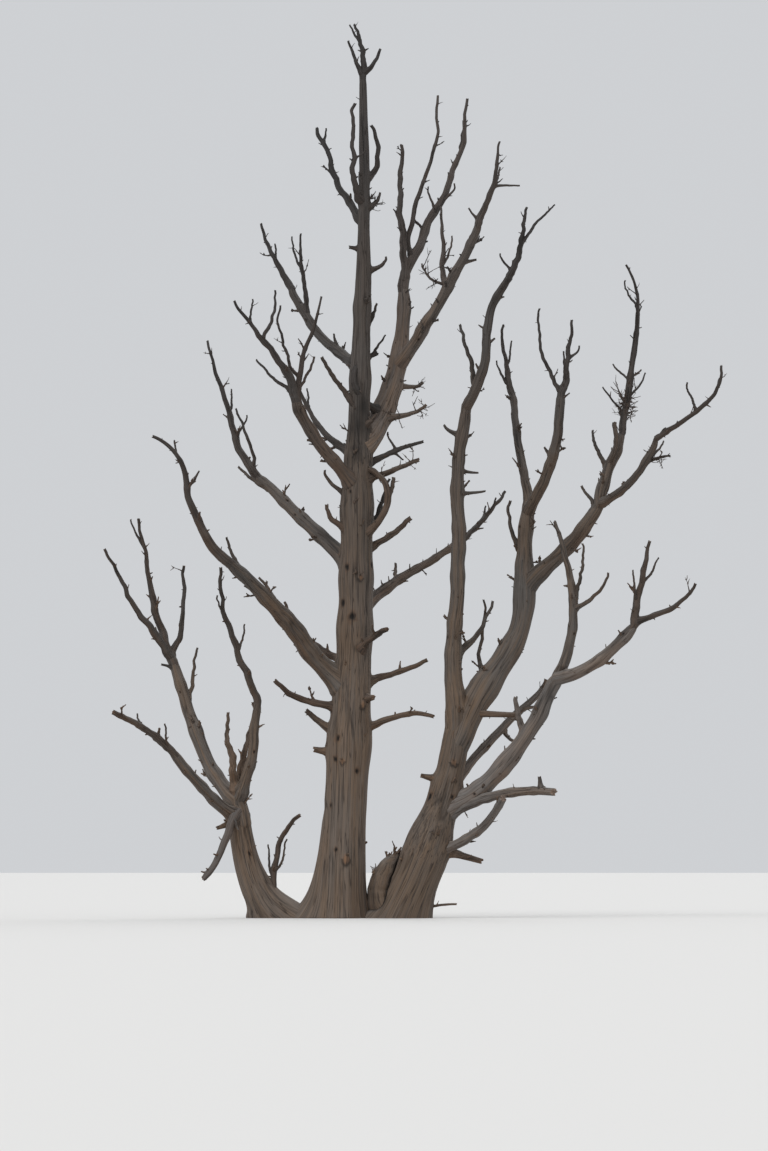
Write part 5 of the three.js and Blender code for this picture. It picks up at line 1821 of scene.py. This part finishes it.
def finer_sprigs(curve: LimbCurve) -> tuple[Array, ...]:
    """The smaller sprigs that the visible model adds.

    Args:
        curve: The limb that they stand on.

    Returns:
        What source_spurs returns.
    """
    rule = SPRIG_RULES[curve.kind]
    chance = chance_arrays(curve.name + " finer")
    count = int(curve.length / rule.spacing)
    first, stretch = SPRIG_STRETCH
    shares = first + stretch * (np.arange(count) + chance.random(count)) / max(1, count)
    low, high = rule.length
    girths = np.clip(curve.girths(shares) * rule.girth_share, *rule.girth)
    girths = girths * chance.uniform(*SPRIG_GIRTHS, count)
    lengths = low + (high - low) * chance.random(count) ** rule.skew
    leans = chance.uniform(0.0, SPRIG_LEAN, count)
    turns = chance.uniform(0.0, 2.0 * math.pi, count)
    curls = chance.uniform(0.0, SPRIG_CURL, count)
    return shares, turns, lengths, leans, girths, curls


def tangle_sprigs(curve: LimbCurve, tangle: Tangle) -> tuple[Array, ...]:
    """A tangle's sprigs.

    Args:
        curve: The limb that they stand on.
        tangle: The tangle.

    Returns:
        What source_spurs returns.
    """
    chance = chance_arrays(curve.name + " tangle")
    count = tangle.count
    shares = np.clip(tangle.at + tangle.stretch * chance.uniform(-0.5, 0.5, count), *TANGLE_SHARES)
    lengths = tangle.length * MM * chance.uniform(*TANGLE_LENGTHS, count)
    curls = tangle.curl * chance.uniform(-1.0, 1.0, count)
    return (
        shares,
        np.radians(chance.uniform(*tangle.turns, count)),
        lengths,
        chance.uniform(*tangle.lean, count),
        chance.uniform(*tangle.girth, count) * MM,
        curls,
    )


# Sub-assemblies


@dataclass(frozen=True)
class MarkRule:
    """The seeded knots on a sort of limb: how many in a metre, their compass ways and their radii."""

    per_metre: float
    ways: Pair
    radii: Pair


# Knots stand behind on a stem, and anywhere on a bough.
MARK_RULES = {
    Kind.STEM: MarkRule(2.2, (-10.0, 190.0), (11.0, 26.0)),
    Kind.BOUGH: MarkRule(1.8, (0.0, 360.0), (5.0, 11.0)),
}
MARK_STRETCH = (0.06, 0.86)
STUB_SHARE = 0.25
PEG_LENGTH = 2.0
PEG_GIRTH = 0.45
PEG_LEAN = 0.25
PEG_CURL = 0.2


@dataclass
class LimbAssembly:
    """A node of the tree: its own limb, the side limbs on it, and the sprigs on them all."""

    curve: LimbCurve
    material: bpy.types.Material
    slot: str
    warmth: float = 0.15

    def own_limbs(self) -> list[LimbCurve]:
        """The side limbs that belong to this node, and those on them."""
        limbs = [child for child in self.curve.children if child.kind is Kind.SIDE]
        return limbs + [finer for limb in limbs for finer in limb.children]

    def skin(self, curve: LimbCurve) -> Shell:
        """One limb's closed surface, with its marks, and with knuckles where the source's spurs stand."""
        marks = MARKS.get(curve.name, ()) + self.seeded_marks(curve)
        return LimbSkin(curve, SKIN_DETAIL[curve.kind], marks, source_spurs(curve)[0]).shell()

    def seeded_marks(self, curve: LimbCurve) -> tuple[Mark, ...]:
        """Knots at seeded places.

        Args:
            curve: The limb that they stand on.

        Returns:
            The knots as marks.
        """
        rule = MARK_RULES.get(curve.kind)
        if rule is None:
            return ()
        chance = Chance(curve.name + " marks")
        count = int(curve.length * rule.per_metre)
        marks = []
        for index in range(count):
            share = MARK_STRETCH[0] + MARK_STRETCH[1] * (index + chance.draw()) / count
            way, radius = chance.draw(*rule.ways), chance.draw(*rule.radii)
            marks.append(Mark(share, way, radius, Scar.STUB if chance.draw() < STUB_SHARE else Scar.HOLE))
        return tuple(marks)

    def sprigs(self) -> Shell:
        """The small broken sprigs on this node's limbs.

        Returns:
            Them all, as one shell.
        """
        beds = []
        for curve in [self.curve, *self.own_limbs()]:
            plans = [source_spurs(curve), finer_sprigs(curve)]
            plans += [tangle_sprigs(curve, tangle) for tangle in TANGLES if tangle.on == curve.name]
            plans.append(self.stub_pegs(curve))
            beds += [Sprigs.on_limb(curve, plan) for plan in plans]
        return Sprigs.join(beds).shell(self.curve.name, self.warmth)

    def stub_pegs(self, curve: LimbCurve) -> tuple[Array, ...]:
        """The broken peg that stands in each stub scar.

        Args:
            curve: The limb that the scars are on.

        Returns:
            What source_spurs returns.
        """
        stubs = [mark for mark in MARKS.get(curve.name, ()) if mark.scar is Scar.STUB]
        rows = []
        for mark in stubs:
            _, over, across = curve.frames(np.array([mark.share]))
            way = level_way(mark.way)
            turn = math.atan2(float(across[0] @ way), float(over[0] @ way))
            radius = mark.radius * MM
            rows.append((mark.share, turn, PEG_LENGTH * radius, PEG_LEAN, PEG_GIRTH * radius, PEG_CURL))
        return as_plan(rows)

    def dress(self, shell: Shell, name: str, replaces: bool) -> None:
        """Makes a piece of a shell, fixes it to the root body, and hides the node's part if it stands in for
        it.

        Args:
            shell: The surface.
            name: The piece's name.
            replaces: Whether it stands in for the node.
        """
        piece = shell.piece(name, self.material)
        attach(piece, "root")
        if replaces:
            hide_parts(self.curve.name)
        LOG.info("%s: %d triangles", name, shell.triangle_count())

    def build(self) -> None:
        """Builds the node as one piece."""
        shells = [self.skin(curve) for curve in [self.curve, *self.own_limbs()]]
        self.dress(Shell.join([*shells, self.sprigs()]), self.curve.name + "_wood", True)


@dataclass
class Stem(LimbAssembly):
    """A stem from the ground, with its root flare and scars. Its side limbs are a piece of their own."""

    def build(self) -> None:
        """Builds the stem, and its snags beside it."""
        self.dress(self.skin(self.curve), self.curve.name + "_wood", True)
        snags = [self.skin(curve) for curve in self.own_limbs()]
        self.dress(Shell.join([*snags, self.sprigs()]), self.curve.name + "_snags", False)


@dataclass
class Bough(LimbAssembly):
    """One tapering bough, swollen where it leaves its stem."""


@dataclass
class TwigMass(LimbAssembly):
    """A mass of bare twigs that branch from one stem, browner and finer than the boughs."""

    warmth: float = 0.25


# Finishes


class Channel:
    """A number in a shader. Python's arithmetic on it adds Math nodes."""

    def __init__(self, board: "Board", socket: Socket) -> None:
        """Keeps the board that new nodes go on, and the output that carries the number."""
        self.board = board
        self.socket = socket

    def math(self, operation: str, first: "Channel | float", second: "Channel | float") -> "Channel":
        """One Math node."""
        node = self.board.node("ShaderNodeMath", {"operation": operation}, {0: first, 1: second})
        return Channel(self.board, node.outputs[0])

    def __add__(self, other: "Channel | float") -> "Channel":
        """The sum."""
        return self.math("ADD", self, other)

    def __sub__(self, other: "Channel | float") -> "Channel":
        """The difference."""
        return self.math("SUBTRACT", self, other)

    def __rsub__(self, other: float) -> "Channel":
        """The difference from a number."""
        return self.math("SUBTRACT", other, self)

    def __mul__(self, other: "Channel | float") -> "Channel":
        """The product."""
        return self.math("MULTIPLY", self, other)

    __radd__ = __add__
    __rmul__ = __mul__

    def away(self, middle: float) -> "Channel":
        """How far the number is from a middle."""
        return self.math("ABSOLUTE", self - middle, 0.0)

    def ramp(self, low: float, high: float) -> "Channel":
        """An eased ramp from 0 at one value to 1 at another.

        Args:
            low: Where it is 0.
            high: Where it is 1.

        Returns:
            The ramp as a number.
        """
        settings = {"interpolation_type": "SMOOTHSTEP"}
        inputs = {"Value": self, "From Min": low, "From Max": high}
        return Channel(self.board, self.board.node("ShaderNodeMapRange", settings, inputs).outputs[0])


class Board:
    """A new material and the nodes on it."""

    def __init__(self, name: str) -> None:
        """Makes the material with nothing in it but its output.

        Args:
            name: The material's name.
        """
        self.material = bpy.data.materials.new(name)
        self.material.use_nodes = True
        self.tree = self.material.node_tree
        self.tree.nodes.clear()

    def node(
        self, kind: str, settings: dict[str, object], inputs: dict[str | int, object]
    ) -> bpy.types.Node:
        """Adds a node.

        Args:
            kind: Blender's name for the sort of node.
            settings: The node's own settings, which are set first.
            inputs: The values or links of its sockets, by name or number.

        Returns:
            The node.
        """
        made = self.tree.nodes.new(kind)
        for key, value in settings.items():
            setattr(made, key, value)
        for key, value in inputs.items():
            source = value.socket if isinstance(value, Channel) else value
            if isinstance(source, Socket):
                self.tree.links.new(source, made.inputs[key])
            else:
                made.inputs[key].default_value = source
        return made

    def noise(self, vector: Socket, tone: "Tone") -> Channel:
        """Noise from 0 to 1 over a vector.

        Args:
            vector: The places or the grain.
            tone: The noise's sizes.

        Returns:
            The noise as a number.
        """
        multiply = {"operation": "MULTIPLY"}
        scaled = self.node("ShaderNodeVectorMath", multiply, {0: vector, 1: tone.cells}).outputs[0]
        inputs = {"Vector": scaled, "Scale": 1.0, "Detail": tone.detail, "Roughness": tone.roughness}
        return Channel(self, self.node("ShaderNodeTexNoise", {}, inputs).outputs[0])

    def blend(self, factor: Channel | float, first: object, second: object, way: str = "MIX") -> Socket:
        """The socket of two colours or sockets mixed, with a factor of how much the second counts."""
        settings = {"data_type": "RGBA", "blend_type": way, "clamp_factor": True}
        return self.node("ShaderNodeMix", settings, {0: factor, 6: first, 7: second}).outputs[2]


@dataclass(frozen=True)
class Tone:
    """Noise in a finish: its cells in a metre on each axis, its detail and its roughness."""

    cells: tuple[float, float, float]
    detail: float
    roughness: float = 0.55


@dataclass(frozen=True)
class WeatheredWood:
    """Bare dead wood: grey and brown bands along the grain, fine dark fibres, checks and warm scars, with
    painted light on its tops, and painted shade and bounce light on its undersides.
    """

    name: str
    grey: Colour = (0.166, 0.133, 0.109, 1.0)
    brown: Colour = (0.186, 0.126, 0.084, 1.0)
    # Weathered silver, also laid on tops as painted light.
    silver: Colour = (0.250, 0.226, 0.202, 1.0)
    ash: Colour = (0.120, 0.120, 0.124, 1.0)
    orange: Colour = (0.275, 0.135, 0.062, 1.0)
    # The cracks' colour, also laid on undersides as painted shade.
    crack: Colour = (0.030, 0.021, 0.016, 1.0)
    bump: float = 0.7
    depth: float = 0.004
    gloss: float = 0.35
    roughness: Pair = (0.72, 0.2)
    bands: Tone = Tone((20.0, 20.0, 0.45), 2.0)
    streaks: Tone = Tone((70.0, 70.0, 1.1), 4.0)
    fibres: Tone = Tone((300.0, 300.0, 4.0), 3.0, 0.65)
    patches: Tone = Tone((2.1, 2.1, 1.3), 3.0)
    dashes: Tone = Tone((46.0, 46.0, 2.4), 2.0, 0.6)
    splits: Tone = Tone((36.0, 36.0, 0.9), 1.5)
    split_width: Pair = (0.003, 0.024)
    brown_parts: tuple[float, float, float] = (0.50, 0.40, 0.45)
    brown_range: Pair = (0.52, 0.86)
    # Silver in patches, and painted top light where the wood faces up.
    silver_parts: Pair = (0.55, 0.6)
    silver_range: Pair = (0.42, 0.92)
    silver_share: float = 0.70
    orange_base: float = 0.30
    # Painted warm bounce light on undersides, in patches.
    sheltered_range: Pair = (0.1, 0.9)
    sheltered_patches: Pair = (0.42, 0.62)
    sheltered_share: float = 0.35
    # Painted shade on undersides.
    under_range: Pair = (0.0, 0.9)
    under_share: float = 0.30
    ash_share: float = 0.6
    streak_range: Pair = (0.34, 0.52)
    streak_share: float = 0.36
    fibre_range: Pair = (0.34, 0.56)
    fibre_share: float = 0.30
    dash_range: Pair = (0.30, 0.44)
    dash_share: float = 0.46
    split_share: float = 0.70
    relief: tuple[float, ...] = (0.5, 0.35, 0.25, 0.6)
    dash_relief: Pair = (0.28, 0.44)

    def material(self) -> bpy.types.Material:
        """Builds the shader.

        Browns, silver and orange are laid over grey by noise along the grain, by patches and by which way
        the wood faces: silver on tops is partly painted top light, orange on undersides is painted bounce
        light, and undersides take painted shade in the cracks' colour. Fine streaks, fibres, dashes and
        splits are laid over them in the cracks' colour, and the whole is multiplied by the wear's light,
        which holds painted shade.

        Returns:
            The material.
        """
        board = Board(self.name)
        grain = board.node("ShaderNodeAttribute", {"attribute_name": "grain"}, {}).outputs["Vector"]
        wear = board.node("ShaderNodeAttribute", {"attribute_name": "wear"}, {}).outputs["Vector"]
        places = board.node("ShaderNodeTexCoord", {}, {}).outputs["Object"]
        facing = board.node("ShaderNodeNewGeometry", {}, {}).outputs["Normal"]
        up = Channel(board, board.node("ShaderNodeSeparateXYZ", {}, {0: facing}).outputs[2])
        parts = board.node("ShaderNodeSeparateXYZ", {}, {0: wear})
        light = parts.outputs[0]
        warmth, cool = Channel(board, parts.outputs[1]), Channel(board, parts.outputs[2])

        bands, streaks = board.noise(grain, self.bands), board.noise(grain, self.streaks)
        fibres, patches = board.noise(grain, self.fibres), board.noise(places, self.patches)
        dashes = board.noise(grain, self.dashes)
        split = 1.0 - board.noise(grain, self.splits).away(0.5).ramp(*self.split_width)

        in_bands, in_streaks, in_patches = self.brown_parts
        brownness = bands * in_bands + streaks * in_streaks + patches * in_patches
        # Silver in patches, and painted top light where the wood faces up.
        facing_up, in_patches = self.silver_parts
        silvered_and_top_lit = (up * facing_up + patches * in_patches).ramp(*self.silver_range)
        under = 0.0 - up
        # Painted warm bounce light from the ground on undersides, in patches.
        patchy_bounce_light = under.ramp(*self.sheltered_range) * patches.ramp(*self.sheltered_patches)
        layers = (
            (brownness.ramp(*self.brown_range), self.brown),
            (silvered_and_top_lit * self.silver_share, self.silver),
            (warmth * (self.orange_base + streaks), self.orange),
            (patchy_bounce_light * self.sheltered_share, self.orange),
            (cool * self.ash_share, self.ash),
            # Painted shade on undersides, in the cracks' colour.
            (under.ramp(*self.under_range) * self.under_share, self.crack),
            ((1.0 - streaks.ramp(*self.streak_range)) * self.streak_share, self.crack),
            ((1.0 - fibres.ramp(*self.fibre_range)) * self.fibre_share, self.crack),
            ((1.0 - dashes.ramp(*self.dash_range)) * self.dash_share, self.crack),
            (split * self.split_share, self.crack),
        )
        colour = self.grey
        for share, laid in layers:
            colour = board.blend(share, colour, laid)
        shade = board.node("ShaderNodeCombineXYZ", {}, {0: light, 1: light, 2: light}).outputs[0]
        colour = board.blend(1.0, colour, shade, "MULTIPLY")

        by_streaks, by_fibres, by_dashes, by_splits = self.relief
        height = streaks * by_streaks + fibres * by_fibres
        height = height + dashes.ramp(*self.dash_relief) * by_dashes - split * by_splits
        bump = board.node(
            "ShaderNodeBump", {}, {"Strength": self.bump, "Distance": self.depth, "Height": height}
        )
        skin = board.node(
            "ShaderNodeBsdfPrincipled",
            {},
            {
                "Base Color": colour,
                "Roughness": self.roughness[0] + fibres * self.roughness[1],
                "Specular IOR Level": self.gloss,
                "Normal": bump.outputs[0],
            },
        )
        board.node("ShaderNodeOutputMaterial", {}, {"Surface": skin.outputs[0]})
        return board.material


STEM_FINISH = WeatheredWood("stem_wood_weathered")
BOUGH_FINISH = WeatheredWood("bough_wood_weathered", grey=(0.140, 0.125, 0.113, 1.0), depth=0.003)
TWIG_FINISH = WeatheredWood(
    "fine_wood_weathered",
    grey=(0.105, 0.090, 0.079, 1.0),
    brown=(0.125, 0.084, 0.060, 1.0),
    silver=(0.160, 0.148, 0.138, 1.0),
    depth=0.0015,
)


# Studio


@dataclass(frozen=True)
class Sun:
    """A soft far light: its strength, how wide it is, its compass way and its height above level."""

    name: str
    strength: float
    spread: float
    way: float
    height: float


@dataclass
class Studio:
    """The floor, the soft light and the camera. Metres and degrees."""

    floor_size: float = 700.0
    eye: tuple[float, float, float] = (0.44, -40.0, 0.5)
    tilt: float = 4.178
    focal_pixels: float = 4000.0
    picture_height: float = 1151.0
    sensor: float = 36.0
    floor_colour: Colour = (0.74, 0.73, 0.71, 1.0)
    floor_roughness: float = 0.95
    surround: Colour = (0.86, 0.88, 0.91, 1.0)
    surround_strength: float = 0.72
    suns: tuple[Sun, ...] = (Sun("key", 1.1, 30.0, 235.0, 50.0), Sun("back", 0.8, 40.0, 60.0, 40.0))

    def floor(self) -> None:
        """A plain pale floor, which is no part of the tree."""
        half = self.floor_size / 2.0
        mesh = bpy.data.meshes.new("floor")
        corners = [(-half, -half, 0), (half, -half, 0), (half, half, 0), (-half, half, 0)]
        mesh.from_pydata(corners, [], [(0, 1, 2, 3)])
        board = Board("floor_plain")
        paint = board.node(
            "ShaderNodeBsdfPrincipled",
            {},
            {"Base Color": self.floor_colour, "Roughness": self.floor_roughness},
        )
        board.node("ShaderNodeOutputMaterial", {}, {"Surface": paint.outputs[0]})
        mesh.materials.append(board.material)
        floor = bpy.data.objects.new("floor", mesh)
        bpy.context.scene.collection.objects.link(floor)

    def light(self, sun: Sun) -> None:
        """Puts a sun in the scene.

        Args:
            sun: Its sizes.
        """
        lamp = bpy.data.lights.new(sun.name, "SUN")
        lamp.energy = sun.strength
        lamp.angle = math.radians(sun.spread)
        rise = math.radians(sun.height)
        aim = Vector(-level_way(sun.way) * math.cos(rise) - ALOFT * math.sin(rise))
        placed = bpy.data.objects.new(sun.name, lamp)
        placed.rotation_euler = aim.to_track_quat("-Z", "Y").to_euler()
        bpy.context.scene.collection.objects.link(placed)

    def lights(self) -> None:
        """A pale surround and two soft lights."""
        scene = bpy.context.scene
        scene.view_settings.view_transform = "Standard"
        world = bpy.data.worlds.new("surround")
        world.use_nodes = True
        backdrop = world.node_tree.nodes["Background"]
        backdrop.inputs["Color"].default_value = self.surround
        backdrop.inputs["Strength"].default_value = self.surround_strength
        scene.world = world
        for sun in self.suns:
            self.light(sun)

    def camera(self) -> None:
        """The camera at the photograph's viewing angle."""
        lens = bpy.data.cameras.new("camera")
        lens.lens = self.focal_pixels / self.picture_height * self.sensor
        lens.sensor_width = self.sensor
        lens.clip_end = 2.0 * self.floor_size
        placed = bpy.data.objects.new("camera", lens)
        placed.location = self.eye
        placed.rotation_euler = (math.radians(90.0 + self.tilt), 0.0, 0.0)
        bpy.context.scene.collection.objects.link(placed)
        bpy.context.scene.camera = placed

    def build(self) -> None:
        """Sets the studio up."""
        self.floor()
        self.lights()
        self.camera()


def main() -> None:
    """Builds the tree round the frame, then the studio."""
    logging.basicConfig(level=logging.INFO, format="%(name)s %(message)s")
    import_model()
    curves = grow_curves()
    stem_wood, bough_wood = STEM_FINISH.material(), BOUGH_FINISH.material()
    fine_wood = TWIG_FINISH.material()
    for row in STEMS:
        Stem(curves[row.name], stem_wood, "stem_wood").build()
    for row in BOUGHS:
        Bough(curves[row.name], bough_wood, "bough_wood").build()
    for row in TWIGS:
        TwigMass(curves[row.name], fine_wood, "fine_wood").build()
    Studio().build()


if __name__ == "__main__":
    main()
